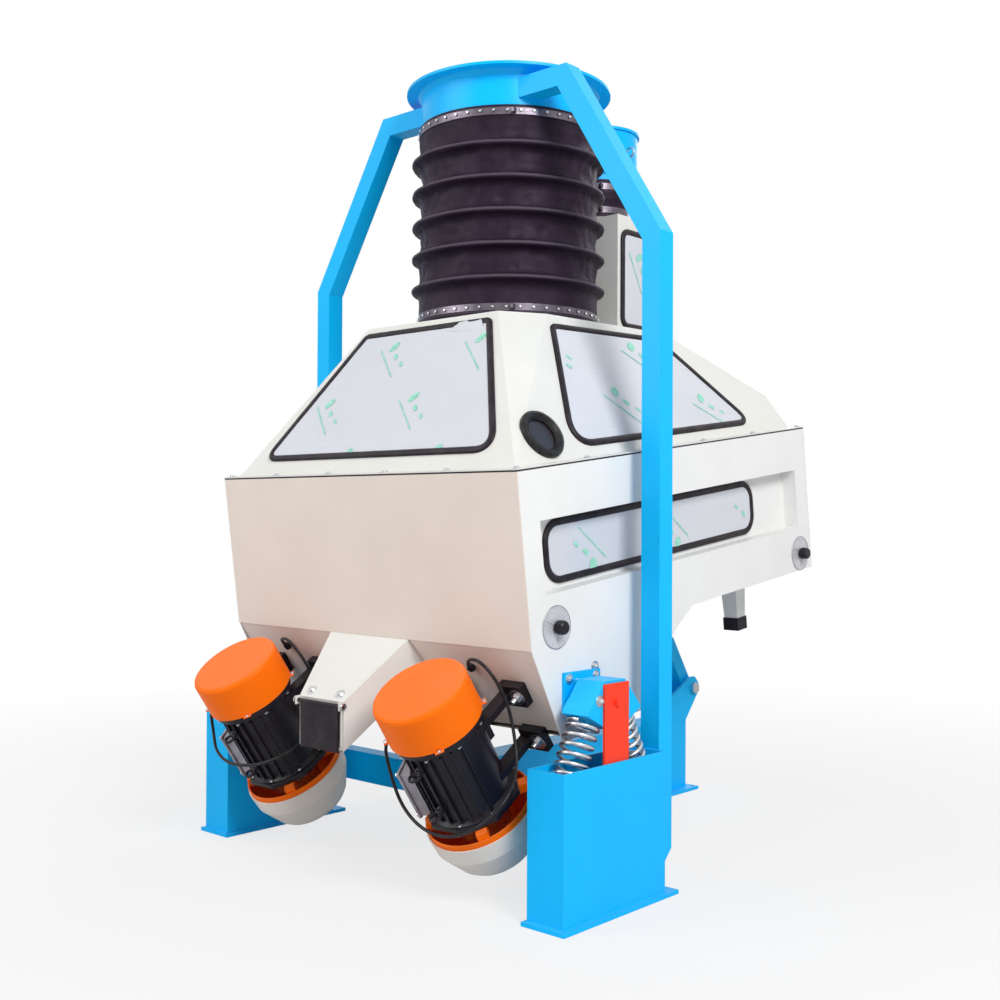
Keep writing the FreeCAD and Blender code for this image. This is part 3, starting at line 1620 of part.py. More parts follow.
def motor_rotor(side, name):
    """The shaft with a pair of eccentric half-disc weights at each end."""
    half = cell("motor_half_length")
    reach = half + 82
    shaft = cylinder(name + "_shaft", cell("shaft_radius"), 2 * reach, (0, 0, -reach))
    weights = []
    for end in (-1, 1):
        low = half + 24 if end > 0 else -half - 24 - cell("weight_thickness")
        disc = cylinder("%s_disc_%d" % (name, end), cell("weight_radius"),
                        cell("weight_thickness"), (0, 0, low))
        relief = box("%s_relief_%d" % (name, end), (-150, 26, low - 1),
                     (300, 200, cell("weight_thickness") + 2))
        weights.append(cut("%s_weight_%d" % (name, end), disc, [relief]))
    return node(motor_frame(fuse(name, [shaft] + weights), side))


def terminal_box(side, name):
    """The cast connection box on the flank of the motor, with its cable gland."""
    radius = cell("motor_body_radius")
    rise = 34
    base = box(name + "_base", (-44, -radius - rise, -118), (88, rise + 10, 136))
    lid = box(name + "_lid", (-48, -radius - rise - 6, -122), (96, 6, 144))
    gland = cylinder(name + "_gland", 11, 22, (0, -radius - 12, 16))
    clear = cylinder(name + "_clear", cell("motor_flange_radius") + cell("seat_gap"), 400,
                     (0, 0, -200))
    solid = cut(name + "_cut", fuse(name + "_parts", [base, lid, gland]), [clear])
    solid.Placement = Placement(Vector(), Rotation(Vector(0, 0, 1), -70))
    return motor_frame(group(name, [solid]), side)


def tube_along(points, radius):
    """A round cord of straight runs joined by tangent arcs."""
    edges = []
    start = points[0]
    for index in range(1, len(points) - 1):
        here = points[index]
        before = points[index - 1] - here
        after = points[index + 1] - here
        run = min(before.Length, after.Length)
        half_turn = (math.pi - before.getAngle(after)) / 2
        bend = 0.45 * run / math.tan(half_turn)
        reach = 0.45 * run
        first = here + before.normalize() * reach
        last = here + after.normalize() * reach
        inward = (before + after).normalize()
        middle = here + inward * (bend / math.cos(half_turn) - bend)
        edges.append(Part.LineSegment(start, first).toShape())
        edges.append(Part.Arc(first, middle, last).toShape())
        start = last
    edges.append(Part.LineSegment(start, points[-1]).toShape())
    route = Part.Wire(edges)
    circle = Part.Wire(Part.Circle(points[0], points[1] - points[0], radius).toShape())
    return route.makePipeShell([circle], True, False)


CABLE_RADIUS = 3.5
CABLE_START = ((-103, -37, 39), (-103, -37, 92), (-150, -55, 92))
CABLE_LONG_LOOP = ((-160, -75, 10), (-120, -118, -62), (-30, -150, -92), (70, -152, -86),
                   (160, -128, -50), (196, -50, -28), (160, 40, -20))
CABLE_SHORT_LOOP = ((-160, -75, 30), (-110, -126, 0), (-20, -152, -6), (76, -146, 0),
                    (150, -112, 6), (186, -40, 6), (160, 40, 6))
CABLE_END = ((132, 100, 40), (124, 124, 104), (118, 126, 172), (76, 138, 214),
             (8, 154, 190), (-20, 184, 140))


def motor_cable(side, name):
    """The supply cable that loops round the motor from its connection box to the plate."""
    loop = CABLE_LONG_LOOP if side > 0 else CABLE_SHORT_LOOP
    points = [Vector(*point) for point in CABLE_START + loop + CABLE_END]
    return motor_frame(shape_feature(name, tube_along(points, CABLE_RADIUS)), side)


# Spring brackets, transport locks and rocker


def spring_bracket(side, name):
    """The peaked bracket on the box's side that both springs push up against."""
    centre = -(cell("pedestal_front") - cell("spring_group"))
    splay = cell("spring_splay")
    half_top = cell("bracket_half_top")
    top = cell("bracket_top")
    spread = cell("spring_top_spread")
    level = cell("spring_top_height") + cell("seat_gap")
    reach = cell("spring_radius") + 4
    out = (spread + cos(splay) * reach, level + sin(splay) * reach)
    inn = (spread - cos(splay) * reach, level - sin(splay) * reach)
    foot_rise = 10
    corner = (out[0] - sin(splay) * foot_rise + 0, out[1] + cos(splay) * foot_rise)
    right = [(centre + half_top, top), (centre + corner[0], corner[1]),
             (centre + out[0], out[1]), (centre + inn[0], inn[1])]
    left = [(centre - inn[0], inn[1]), (centre - out[0], out[1]),
            (centre - corner[0], corner[1]), (centre - half_top, top)]
    if inn[0].value < 2:
        right[3] = (centre + 2, inn[1])
        left[0] = (centre - 2, inn[1])
    body = new_body(name + "_peak")
    low = beside_box("bracket_inner_gap")
    high = beside_box("bracket_outer_gap")
    offset = low if side > 0 else -high
    pad(body, "YZ_Plane", right + left, high - low, offset)
    arm_low = cell("body_width") / 2
    arm = box(name + "_arm", (arm_low if side > 0 else -low, centre - 40, top - 66),
              (low - arm_low, 80, 62))
    bolt_plate = box(name + "_foot",
                     (arm_low if side > 0 else -arm_low - 8, centre - 70, top - 76),
                     (8, 140, 90))
    return fuse(name, [body, arm, bolt_plate])


def transport_lock(side, name):
    """The red plate that locks box to pedestal for transport; it hangs free in use."""
    centre = -(cell("pedestal_front") - cell("spring_group"))
    width = cell("lock_width")
    top = cell("lock_top")
    thickness = cell("lock_thickness")
    outer = beside_box("bracket_outer_gap") + cell("seat_gap")
    plate = box(name + "_plate",
                (outer if side > 0 else -outer - thickness, centre - width / 2,
                 top - cell("lock_length")), (thickness, width, cell("lock_length")))
    head = doc.addObject("Part::Prism", name + "_bolt")
    head.Polygon = 6
    head.Circumradius = 11
    head.Height = 7
    start = outer + thickness if side > 0 else -outer - thickness - 7
    bind_placement(head, (start, centre, top - 45), (0, 1, 0), 90)
    return fuse(name, [plate, head])


def throw_angle():
    """The box shakes square to the motor axes, at this angle above the floor."""
    return cell("inclination") + cell("motor_plate_angle")


def rocker_top():
    """Upper pivot of the rocker, square to the throw from the lower pivot."""
    angle = throw_angle()
    length = cell("rocker_length")
    return (cell("rocker_pivot_along") - length * sin(angle),
            cell("rocker_pivot_height") + length * cos(angle))


def rocker_arm():
    """The rear strut: two hubs with rubber-bushed eyes joined by a box arm."""
    width = cell("rocker_width")
    hub = cell("rocker_hub_radius")
    length = cell("rocker_length")
    low = cylinder("rocker_low_hub", hub, width, (-width / 2, 0, 0), (0, 1, 0), 90)
    high = cylinder("rocker_high_hub", hub, width, (-width / 2, 0, length), (0, 1, 0), 90)
    arm = box("rocker_web", (-width * 0.4, -24, 0), (width * 0.8, 48, length))
    bore_low = cylinder("rocker_low_bore", cell("pin_radius") + cell("pin_clearance"),
                        2 * width, (-width, 0, 0), (0, 1, 0), 90)
    bore_high = cylinder("rocker_high_bore",
                         cell("pin_radius") + cell("upper_pin_clearance"), 2 * width,
                         (-width, 0, length), (0, 1, 0), 90)
    solid = cut("rocker_arm", fuse("rocker_solid", [low, high, arm]), [bore_low, bore_high])
    bind_placement(solid, (0, cell("rocker_pivot_along"), cell("rocker_pivot_height")),
                   (1, 0, 0), throw_angle())
    return node(solid)


def pivot_pin():
    """The bolt through the rear leg's cheeks and the rocker's lower eye."""
    inner = cell("rocker_width") / 2 + cell("cheek_gap") + cell("cheek_thickness")
    reach = inner + cell("seat_gap")
    pin = cylinder("pivot_pin_shaft", cell("pin_radius"), 2 * reach + 20,
                   (-reach - 10, 0, 0), (0, 1, 0), 90)
    ends = []
    for side in (-1, 1):
        nut = doc.addObject("Part::Prism", "pivot_pin_nut_%d" % side)
        nut.Polygon = 6
        nut.Circumradius = 20
        nut.Height = 16
        bind_placement(nut, (reach if side > 0 else -reach - 16, 0, 0), (0, 1, 0), 90)
        ends.append(nut)
    solid = fuse("pivot_pin", [pin] + ends)
    bind_placement(solid, (0, cell("rocker_pivot_along"), cell("rocker_pivot_height")))
    return node(solid)


def rear_hanger():
    """Cross channel under the box with two lugs and the rocker's upper pin."""
    tilt = cell("inclination")
    top = rocker_top()
    run = top[0] + cell("seam_front")
    rise = top[1] - cell("seam_height")
    along = run * cos(tilt) + rise * sin(tilt)
    deep = rise * cos(tilt) - run * sin(tilt)
    inner = cell("rocker_width") / 2 + cell("cheek_gap")
    cheek = cell("cheek_thickness")
    under = -cell("rear_panel_height")
    width = cell("hanger_width")
    bar_height = 40
    parts = [box("hanger_bar", (-width / 2, along - 40, under - bar_height),
                 (width, 80, bar_height))]
    reach = cell("rocker_hub_radius")
    for side in (-1, 1):
        lug = new_body("hanger_lug_%s" % ("right" if side > 0 else "left"))
        pad(lug, "YZ_Plane",
            [(along - 40, under - 10), (along - reach, deep - reach * 0.5),
             (along - reach * 0.5, deep - reach), (along + reach * 0.5, deep - reach),
             (along + reach, deep - reach * 0.5), (along + 40, under - 10)],
            cheek, inner if side > 0 else -inner - cheek)
        parts.append(lug)
    pin = cylinder("hanger_pin", cell("pin_radius"), 2 * (inner + cheek + 8),
                   (-inner - cheek - 8, along, deep), (0, 1, 0), 90)
    hollow = box("hanger_hollow", (5 - width / 2, along - 34, under - bar_height + 6),
                 (width - 10, 68, bar_height - 12))
    bar = cut("hanger_channel", parts[0], [hollow])
    solid = fuse("rear_hanger", [bar, pin] + parts[1:])
    return node(machine_frame(solid))


# Adjusters


def dial_plates():
    """Four round index plates on the box's sides."""
    half = cell("body_width") / 2
    thickness = cell("dial_thickness")
    plates = []
    for side in (-1, 1):
        for index, along in enumerate((cell("dial_front_along"), cell("dial_rear_along"))):
            start = half + cell("seat_gap") / 3 if side > 0 else (
                -half - thickness - cell("seat_gap") / 3)
            disc = cylinder("dial_%d_%d" % (side, index), cell("dial_radius"), thickness,
                            (start, along, -cell("dial_depth")), (0, 1, 0), 90)
            hole = cylinder("dial_hole_%d_%d" % (side, index), 8.6, 30,
                            (side * half - 15, along, -cell("dial_depth")), (0, 1, 0), 90)
            plates.append(cut("dial_plate_%d_%d" % (side, index), disc, [hole]))
    return node(machine_frame(group("dial_plates", plates)))


def knob(side, along, name):
    """A round fluted knob on a spindle that turns the air shutter inside the box."""
    half = cell("body_width") / 2
    start = cell("dial_thickness") + 1
    radius = cell("knob_radius")
    length = cell("knob_length")
    shutter = 16
    profile = [(0, -60), (8, -60), (8, start), (radius * 0.8, start), (radius, start + 4),
               (radius, start + length - 3), (radius - 3, start + length),
               (0, start + length)]
    grip = turned(name + "_grip", profile)
    blade = box(name + "_blade", (-shutter, -2, -58), (2 * shutter, 4, 40))
    solid = fuse(name, [grip, blade])
    tilt = cell("inclination")
    run = along * cos(tilt) + cell("dial_depth") * sin(tilt) - cell("seam_front")
    rise = along * sin(tilt) - cell("dial_depth") * cos(tilt) + cell("seam_height")
    bind_placement(solid, (side * half, run, rise), (0, 1, 0), side * 90)
    return node(solid)


# Assemble

pedestal(-1, "pedestal_left")
pedestal(1, "pedestal_right")
cross_beam()
centre_beam()
rear_leg()
arch_post(-1, "arch_post_left")
arch_post(1, "arch_post_right")
suction_spout()
feed_spout()
pivot_pin()

for side, word in ((-1, "left"), (1, "right")):
    node(group("springs_" + word, [spring(side, end, "spring_%s_%d" % (word, end))
                                   for end in (-1, 1)]))

main_bellows()
feed_sleeve()
skin_radius = cell("suction_pipe_radius") + cell("seat_gap") + cell("bellows_wall")
sleeve_radius = cell("neck_radius") + cell("seat_gap") + cell("bellows_wall")
node(group("clamps_fixed", clamp_bands("clamps_fixed", (
    (skin_radius, cell("suction_pipe_bottom") + 14, size(0)),
    (sleeve_radius, cell("feed_sleeve_top") - 32, feed_centre())))))
node(group("clamps_moving", clamp_bands("clamps_moving", (
    (skin_radius, bellows_floor() + 22, size(0)),
    (sleeve_radius, cell("feed_sleeve_bottom") + 10, feed_centre())))))

end_panel()
rear_panel()
left_panel = side_panel(-1, "side_panel_left")
right_panel = side_panel(1, "side_panel_right")
motor_plate()
keel_pan()
air_plate()
deck("upper_screen", cell("upper_screen_depth"), 4, 3)
deck("lower_deck", cell("lower_deck_depth"), 5, 3)
hood_gasket()
doc.recompute()
hood_shell()
glazing = hood_windows() + [hopper_window(1), hopper_window(-1)]
window_seals("hood_window_seals", glazing)
window_panes("hood_windows", glazing)
window_seals("side_window_seals", [side_window(1), side_window(-1)])
window_panes("side_windows", [side_window(1), side_window(-1)])
lamp_bezel()
lamp_lens()
feed_hopper()
feed_gate()
product_chute()
outlet_flap()
stone_spout()
stone_sleeve()
rear_hanger()
rocker_arm()
dial_plates()

PAIRS = (("spring_brackets", spring_bracket), ("transport_locks", transport_lock),
         ("motor_lower_caps", motor_lower_cap), ("motor_guards", motor_guard),
         ("terminal_boxes", terminal_box), ("motor_cables", motor_cable))
for label, make in PAIRS:
    node(group(label, [make(-1, label + "_left"), make(1, label + "_right")]))

for side, word in ((-1, "left"), (1, "right")):
    motor_body(side, "motor_body_" + word)
    motor_cap(side, "motor_cap_" + word)
    motor_rotor(side, "motor_rotor_" + word)
    knob(side, cell("dial_front_along"), "knob_front_" + word)
    knob(side, cell("dial_rear_along"), "knob_rear_" + word)

doc.recompute()

os.makedirs("parts", exist_ok=True)
problems = []
for obj in doc.Objects:
    if "Invalid" in obj.State or "Error" in obj.State:
        problems.append("%s: %s" % (obj.Name, obj.State))
for obj in nodes:
    if obj.Shape.isNull() or not obj.Shape.isValid():
        problems.append("%s: shape is null or not valid" % obj.Label)
if problems:
    raise RuntimeError("; ".join(problems))

for obj in nodes:
    label = obj.Label.replace("_drilled", "")
    obj.Shape.exportStep("parts/%s.step" % label)
    print("%-24s %2d solids, %12.0f mm3" % (label, len(obj.Shape.Solids), obj.Shape.Volume))
whole = Part.makeCompound([obj.Shape for obj in nodes]).BoundBox
print("%d nodes, X %.1f to %.1f, Y %.1f to %.1f, Z %.1f to %.1f" % (
    len(nodes), whole.XMin, whole.XMax, whole.YMin, whole.YMax, whole.ZMin, whole.ZMax))
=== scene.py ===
"""Looks of a gravity destoner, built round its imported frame: paint, rubber, glass and fittings."""

import math

import bmesh
import bpy
from mathutils import Matrix, Vector, noise


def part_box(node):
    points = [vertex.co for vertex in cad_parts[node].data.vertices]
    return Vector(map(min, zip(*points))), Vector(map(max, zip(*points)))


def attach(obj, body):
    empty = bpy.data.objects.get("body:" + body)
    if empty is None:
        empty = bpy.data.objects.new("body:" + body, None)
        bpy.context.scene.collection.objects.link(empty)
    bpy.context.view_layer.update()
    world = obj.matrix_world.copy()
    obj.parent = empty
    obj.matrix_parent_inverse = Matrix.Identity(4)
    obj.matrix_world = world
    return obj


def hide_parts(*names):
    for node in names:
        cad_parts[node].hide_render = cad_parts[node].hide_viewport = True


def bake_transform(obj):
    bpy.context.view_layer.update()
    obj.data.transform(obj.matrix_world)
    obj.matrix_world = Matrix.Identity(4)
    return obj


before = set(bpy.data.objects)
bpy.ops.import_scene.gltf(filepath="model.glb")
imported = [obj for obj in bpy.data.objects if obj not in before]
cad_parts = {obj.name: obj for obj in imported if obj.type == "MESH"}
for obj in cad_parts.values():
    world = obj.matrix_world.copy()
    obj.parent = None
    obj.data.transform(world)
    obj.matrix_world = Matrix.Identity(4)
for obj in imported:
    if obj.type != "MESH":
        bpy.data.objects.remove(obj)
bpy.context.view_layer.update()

bl_info = {
    "name": "Gravity destoner looks",
    "version": (1, 0, 0),
    "blender": (4, 5, 0),
    "location": "View3D > Sidebar > Destoner",
    "description": "Paint, rubber, glass, springs, cables and fittings of a gravity destoner",
    "category": "Object",
}

# Places of the machine, in metres

SETBACK = 0.07775
INCLINATION = math.radians(7.4)
PLATE_ANGLE = math.radians(26.5)
BODY_HALF = 0.565
BODY_LENGTH = 1.36
SEAM = Vector((0, -0.6 - SETBACK, 1.042))
BOX_PLACE = Matrix.Translation(SEAM) @ Matrix.Rotation(INCLINATION, 4, "X")
END_DEPTH = 0.421
REAR_DEPTH = 0.433
MOTOR_ACROSS = 0.361
MOTOR_DOWN = 0.2065
MOTOR_FOOT = 0.1895
MOTOR_HALF = 0.125
DUCT_AXIS = Vector((0, -SETBACK, 0))
FEED_AXIS = Vector((0, 0.43 - SETBACK, 0))
SPRINGS_ALONG = -0.362 - SETBACK
HOOD_TOP = 1.482
SHEET = 0.003
SEAT_GAP = 0.0003
MERGE_REACH = 0.00002
UP = Vector((0, 0, 1))
SIDES = ((-1, "left"), (1, "right"))


def motor_place(side):
    """Frame of a motor: z along its shaft, y towards the plate that it hangs on."""
    along = SHEET + MOTOR_DOWN * math.sin(PLATE_ANGLE) - MOTOR_FOOT * math.cos(PLATE_ANGLE)
    deep = -END_DEPTH - SEAT_GAP - MOTOR_DOWN * math.cos(PLATE_ANGLE)
    deep -= MOTOR_FOOT * math.sin(PLATE_ANGLE)
    base = BOX_PLACE @ Vector((side * MOTOR_ACROSS, along, deep))
    return Matrix.Translation(base) @ Matrix.Rotation(INCLINATION + PLATE_ANGLE, 4, "X")


def colour(name, text, default):
    return bpy.props.FloatVectorProperty(name=name, description=text, subtype="COLOR",
                                         size=3, min=0, max=1, default=default)


def length(name, text, default):
    return bpy.props.FloatProperty(name=name, description=text, subtype="DISTANCE",
                                   unit="LENGTH", min=0, default=default)


class DestonerColours(bpy.types.PropertyGroup):
    """Colours of the paints, rubbers and films."""

    frame_blue: colour("Frame blue", "Paint of stand, spouts and brackets", (0.0, 0.500, 1.0))
    box_cream: colour("Box cream", "Paint of the box's ends", (0.800, 0.700, 0.630))
    side_white: colour("Side white", "Paint of the box's sides", (0.825, 0.820, 0.805))
    hood_white: colour("Hood white", "Paint of hood, hopper and chute", (0.760, 0.752, 0.712))
    cap_orange: colour("Cap orange", "Paint of the motor caps", (1.0, 0.165, 0.0))
    guard_cream: colour("Guard cream", "Paint of the lower guards", (0.800, 0.745, 0.680))
    motor_black: colour("Motor black", "Enamel of the motors", (0.010, 0.007, 0.012))
    lock_red: colour("Lock red", "Paint of the transport locks", (1.0, 0.045, 0.012))
    rubber: colour("Rubber", "Seals, cables and flaps", (0.013, 0.008, 0.013))
    cloth_rubber: colour("Coated cloth", "The duct's soft sleeve", (0.017, 0.008, 0.020))
    film: colour("Film", "Protective film on the windows", (0.615, 0.630, 0.675))
    mint: colour("Mint ink", "Marks on the film", (0.210, 0.600, 0.430))
    zinc: colour("Zinc", "Bolts, springs and clamps", (0.640, 0.650, 0.670))
    wood: colour("Wood", "Frames of the screens", (0.520, 0.340, 0.180))


class DestonerSizes(bpy.types.PropertyGroup):
    """Sizes of the pieces that are made here."""

    spring_radius: length("Spring radius", "Outside of the coil springs", 0.042)
    spring_wire: length("Spring wire", "Thickness of the spring wire", 0.0105)
    spring_length: length("Spring length", "Height of a spring at rest", 0.158)
    sleeve_radius: length("Sleeve radius", "Outside of the duct's sleeve", 0.2633)
    ring_rise: length("Ring rise", "How far the sleeve's rings stand out", 0.0228)
    fold_depth: length("Fold depth", "Depth of the creases in the sleeve", 0.0080)
    cable_radius: length("Cable radius", "Half the motor cable's thickness", 0.0042)
    seal_width: length("Seal width", "Width of the windows' rubber lip", 0.020)
    edge_round: length("Edge round", "Rounding of the painted edges", 0.0013)


# Mesh helpers


def facing(place, point, normal):
    """A frame at a point with z along normal, both given in place."""
    turn = Vector(normal).to_track_quat("Z", "Y").to_matrix().to_4x4()
    return place @ Matrix.Translation(Vector(point)) @ turn


def keep(name, bm, material, body, sharp=32):
    """Turn a bmesh into a finished piece that rides on a body."""
    bmesh.ops.remove_doubles(bm, verts=bm.verts, dist=MERGE_REACH)
    bmesh.ops.recalc_face_normals(bm, faces=bm.faces)
    mesh = bpy.data.meshes.new(name)
    bm.to_mesh(mesh)
    bm.free()
    mesh.shade_smooth()
    mesh.set_sharp_from_angle(angle=math.radians(sharp))
    piece = bpy.data.objects.new(name, mesh)
    bpy.context.scene.collection.objects.link(piece)
    mesh.materials.append(material)
    if body:
        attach(piece, body)
    return piece


def edges_of(verts):
    return list({edge for vert in verts for edge in vert.link_edges})


def soften(bm, edges, offset):
    bmesh.ops.bevel(bm, geom=edges, offset=offset, segments=2, profile=0.5, affect="EDGES",
                    material=-1)


def solid_disc(bm, place, radius, height, segments=24, top=None, chamfer=0.0):
    """An upright prism on place's plane, with its far rim chamfered."""
    made = bmesh.ops.create_cone(
        bm, cap_ends=True, segments=segments, radius1=radius,
        radius2=radius if top is None else top, depth=height,
        matrix=place @ Matrix.Translation((0, 0, height / 2)))["verts"]
    if chamfer:
        back = place.inverted()
        far = {v for v in made if (back @ v.co).z > height * 0.5}
        soften(bm, [e for e in edges_of(far) if e.verts[0] in far and e.verts[1] in far],
               chamfer)


def block(bm, place, low, high, bevel=0.0):
    """A box between two corners, given in place."""
    low, high = Vector(low), Vector(high)
    middle = Matrix.Translation((low + high) / 2)
    verts = bmesh.ops.create_cube(
        bm, size=1, matrix=place @ middle @ Matrix.Diagonal((*(high - low), 1)))["verts"]
    if bevel:
        soften(bm, edges_of(verts), bevel)


def hex_bolt(bm, place, radius, washer=True, stud=0.0):
    """A hexagon head on a washer, with the end of its thread where stud is set."""
    if washer:
        solid_disc(bm, place, radius * 1.75, 0.0016, 20)
    seat = place @ Matrix.Translation((0, 0, 0.0014))
    solid_disc(bm, seat, radius, radius * 0.75, 6, chamfer=radius * 0.12)
    if stud:
        solid_disc(bm, seat, radius * 0.52, radius * 0.75 + stud, 12, chamfer=0.0008)


def bolts(bm, place, points, normal, radius, **looks):
    """Hexagon heads at points of a place, all facing one way."""
    for point in points:
        hex_bolt(bm, facing(place, point, normal), radius, **looks)


def pan_screw(bm, place, radius):
    """A low round head on a flat washer."""
    solid_disc(bm, place, radius * 1.6, 0.0008, 16)
    solid_disc(bm, place, radius, radius * 0.55, 14, top=radius * 0.72, chamfer=0.0006)


def turns(count, first=0.0):
    """Turns about z that share a full circle evenly, the first one in degrees."""
    return [Matrix.Rotation(math.radians(first + 360 * index / count), 4, "Z")
            for index in range(count)]


def spun(bm, place, verts, edges, steps):
    """Turn a section once round place's z axis."""
    bmesh.ops.spin(bm, geom=verts + edges, cent=place.translation, axis=place.to_3x3() @ UP,
                   angle=2 * math.pi, steps=steps, use_merge=True, use_duplicate=False)


def wire_section(bm, place, major, minor, sides):
    """A small circle that stands across the way round place's z axis."""
    start = place @ Matrix.Translation((major, 0, 0)) @ Matrix.Rotation(math.pi / 2, 4, "X")
    return bmesh.ops.create_circle(bm, segments=sides, radius=minor, matrix=start)["verts"]


def ring(bm, place, major, minor, steps=28, sides=8):
    """A closed round ring about place's z axis."""
    made = wire_section(bm, place, major, minor, sides)
    spun(bm, place, made, edges_of(made), steps)


def revolved(bm, place, profile, steps=72):
    """A surface of (radius, height) points turned about place's z axis."""
    verts = [bm.verts.new(place @ Vector((r, 0, z))) for r, z in profile]
    spun(bm, place, verts, [bm.edges.new(pair) for pair in zip(verts, verts[1:])], steps)


def bead(bm, start, end, radius):
    """A weld seam with a slightly uneven back."""
    start, end = Vector(start), Vector(end)
    run = end - start
    count = max(4, int(run.length / 0.012))
    made = bmesh.ops.create_circle(bm, cap_ends=True, segments=7, radius=radius,
                                   matrix=facing(Matrix(), start, run))["verts"]
    face = list({f for v in made for f in v.link_faces})
    for index in range(count):
        out = bmesh.ops.extrude_face_region(bm, geom=face)["geom"]
        verts = [g for g in out if isinstance(g, bmesh.types.BMVert)]
        bmesh.ops.delete(bm, geom=face, context="FACES_ONLY")
        face = [g for g in out if isinstance(g, bmesh.types.BMFace)]
        bmesh.ops.translate(bm, verts=verts, vec=run / count)
        centre = start + run * (index + 1) / count
        swell = 1.16 if index % 2 else 0.86
        bmesh.ops.scale(bm, verts=verts, vec=(swell,) * 3, space=Matrix.Translation(-centre))


# Shader helpers


def put(tree, value, socket):
    """Join an input to an output, or fill it with a plain value."""
    if isinstance(value, bpy.types.NodeSocket):
        tree.links.new(value, socket)
    else:
        socket.default_value = value


def add(tree, kind, inputs=None, **settings):
    """A node with its settings, its inputs joined or filled by name or number."""
    node = tree.nodes.new(kind)
    for key, value in settings.items():
        setattr(node, key, value)
    for key, value in (inputs or {}).items():
        put(tree, value, node.inputs[key])
    return node


def maths(tree, operation, *values):
    return add(tree, "ShaderNodeMath", dict(enumerate(values)), operation=operation).outputs[0]


def mixed(tree, factor, first, second):
    return add(tree, "ShaderNodeMix", {0: factor, 6: first, 7: second},
               data_type="RGBA").outputs[2]


def ranged(tree, *values):
    """A value, its two ends and their two new ends."""
    return add(tree, "ShaderNodeMapRange", dict(enumerate(values))).outputs[0]


def placed(tree):
    return add(tree, "ShaderNodeTexCoord").outputs["Object"]


def noise_at(tree, scale, detail=3.0, roughness=0.55, stretch=(1, 1, 1)):
    mapping = add(tree, "ShaderNodeMapping", {"Vector": placed(tree), "Scale": stretch})
    return add(tree, "ShaderNodeTexNoise", {"Vector": mapping.outputs[0], "Scale": scale,
                                            "Detail": detail,
                                            "Roughness": roughness}).outputs["Fac"]


def rounded_edge(tree, radius):
    return add(tree, "ShaderNodeBevel", {"Radius": radius}, samples=4).outputs[0]


def relief(tree, height, distance, strength, **more):
    """A normal that follows a height."""
    return add(tree, "ShaderNodeBump", {"Height": height, "Distance": distance,
                                        "Strength": strength, **more}).outputs[0]


SURFACE = {"Colour": "NodeSocketColor", "Roughness": "NodeSocketFloat",
           "Height": "NodeSocketFloat", "Normal": "NodeSocketVector"}


def shader_group(name, inputs):
    """A group with the outputs of a surface, and the sockets of its inputs."""
    group = bpy.data.node_groups.new(name, "ShaderNodeTree")
    for label, default in inputs.items():
        kind = "NodeSocketColor" if isinstance(default, tuple) else "NodeSocketFloat"
        socket = group.interface.new_socket(label, in_out="INPUT", socket_type=kind)
        socket.default_value = default
    for label, kind in SURFACE.items():
        group.interface.new_socket(label, in_out="OUTPUT", socket_type=kind)
    return group, group.nodes.new("NodeGroupInput").outputs


def sprayed_group():
    """Sprayed paint: faint clouding, worn edges, settled dust and orange peel."""
    group, given = shader_group("Sprayed paint", {
        "Paint": (0.8, 0.8, 0.8, 1), "Worn": (0.9, 0.9, 0.9, 1), "Wear": 0.35, "Dust": 0.2,
        "Gloss": 0.35, "Edge": 0.002})
    cloud = noise_at(group, 5.0, 4.0)
    bevel = rounded_edge(group, given["Edge"])
    normal = add(group, "ShaderNodeNewGeometry").outputs["Normal"]
    angle = add(group, "ShaderNodeVectorMath", {0: bevel, 1: normal},
                operation="DOT_PRODUCT").outputs["Value"]
    edge = ranged(group, angle, 0.97, 0.80, 0.0, 1.0)
    broken = ranged(group, noise_at(group, 60.0, 2.0), 0.42, 0.62, 0.0, 1.0)
    worn = maths(group, "MULTIPLY", maths(group, "MULTIPLY", edge, broken), given["Wear"])
    upright = add(group, "ShaderNodeSeparateXYZ", {0: normal}).outputs["Z"]
    level = ranged(group, upright, 0.55, 1.0, 0.0, 1.0)
    dust = maths(group, "MULTIPLY", maths(group, "MULTIPLY", level, cloud), given["Dust"])
    shade = ranged(group, cloud, 0.25, 0.75, 0.955, 1.025)
    toned = add(group, "ShaderNodeVectorMath", {0: given["Paint"], "Scale": shade},
                operation="SCALE").outputs[0]
    painted = mixed(group, worn, toned, given["Worn"])
    rough = maths(group, "ADD", ranged(group, cloud, 0.3, 0.7, -0.04, 0.06), given["Gloss"])
    peel = noise_at(group, 420.0, 2.0)
    add(group, "NodeGroupOutput", {
        "Colour": mixed(group, dust, painted, (0.74, 0.70, 0.64, 1)),
        "Roughness": maths(group, "MULTIPLY_ADD", dust, 0.5, rough),
        "Height": maths(group, "MULTIPLY_ADD", noise_at(group, 3.2, 2.0), 16.0, peel),
        "Normal": bevel})
    return group


def scuffed_group():
    """Metal or rubber: fine streaks, stains and a rounded edge."""
    group, given = shader_group("Scuffed surface", {
        "Base": (0.6, 0.6, 0.6, 1), "Stain": (0.3, 0.3, 0.3, 1), "Amount": 0.3, "Rough": 0.35,
        "Scale": 40.0, "Edge": 0.0015})
    spots = add(group, "ShaderNodeTexNoise", {"Vector": placed(group), "Scale": given["Scale"],
                                              "Detail": 4.0}).outputs["Fac"]
    mask = maths(group, "MULTIPLY", ranged(group, spots, 0.42, 0.68, 0.0, 1.0),
                 given["Amount"])
    streaks = noise_at(group, 30.0, 3.0, 0.6, (1, 1, 7))
    add(group, "NodeGroupOutput", {
        "Colour": mixed(group, mask, given["Base"], given["Stain"]),
        "Roughness": maths(group, "ADD", ranged(group, streaks, 0.3, 0.7, -0.08, 0.10),
                           given["Rough"]),
        "Height": noise_at(group, 300.0, 3.0),
        "Normal": rounded_edge(group, given["Edge"])})
    return group


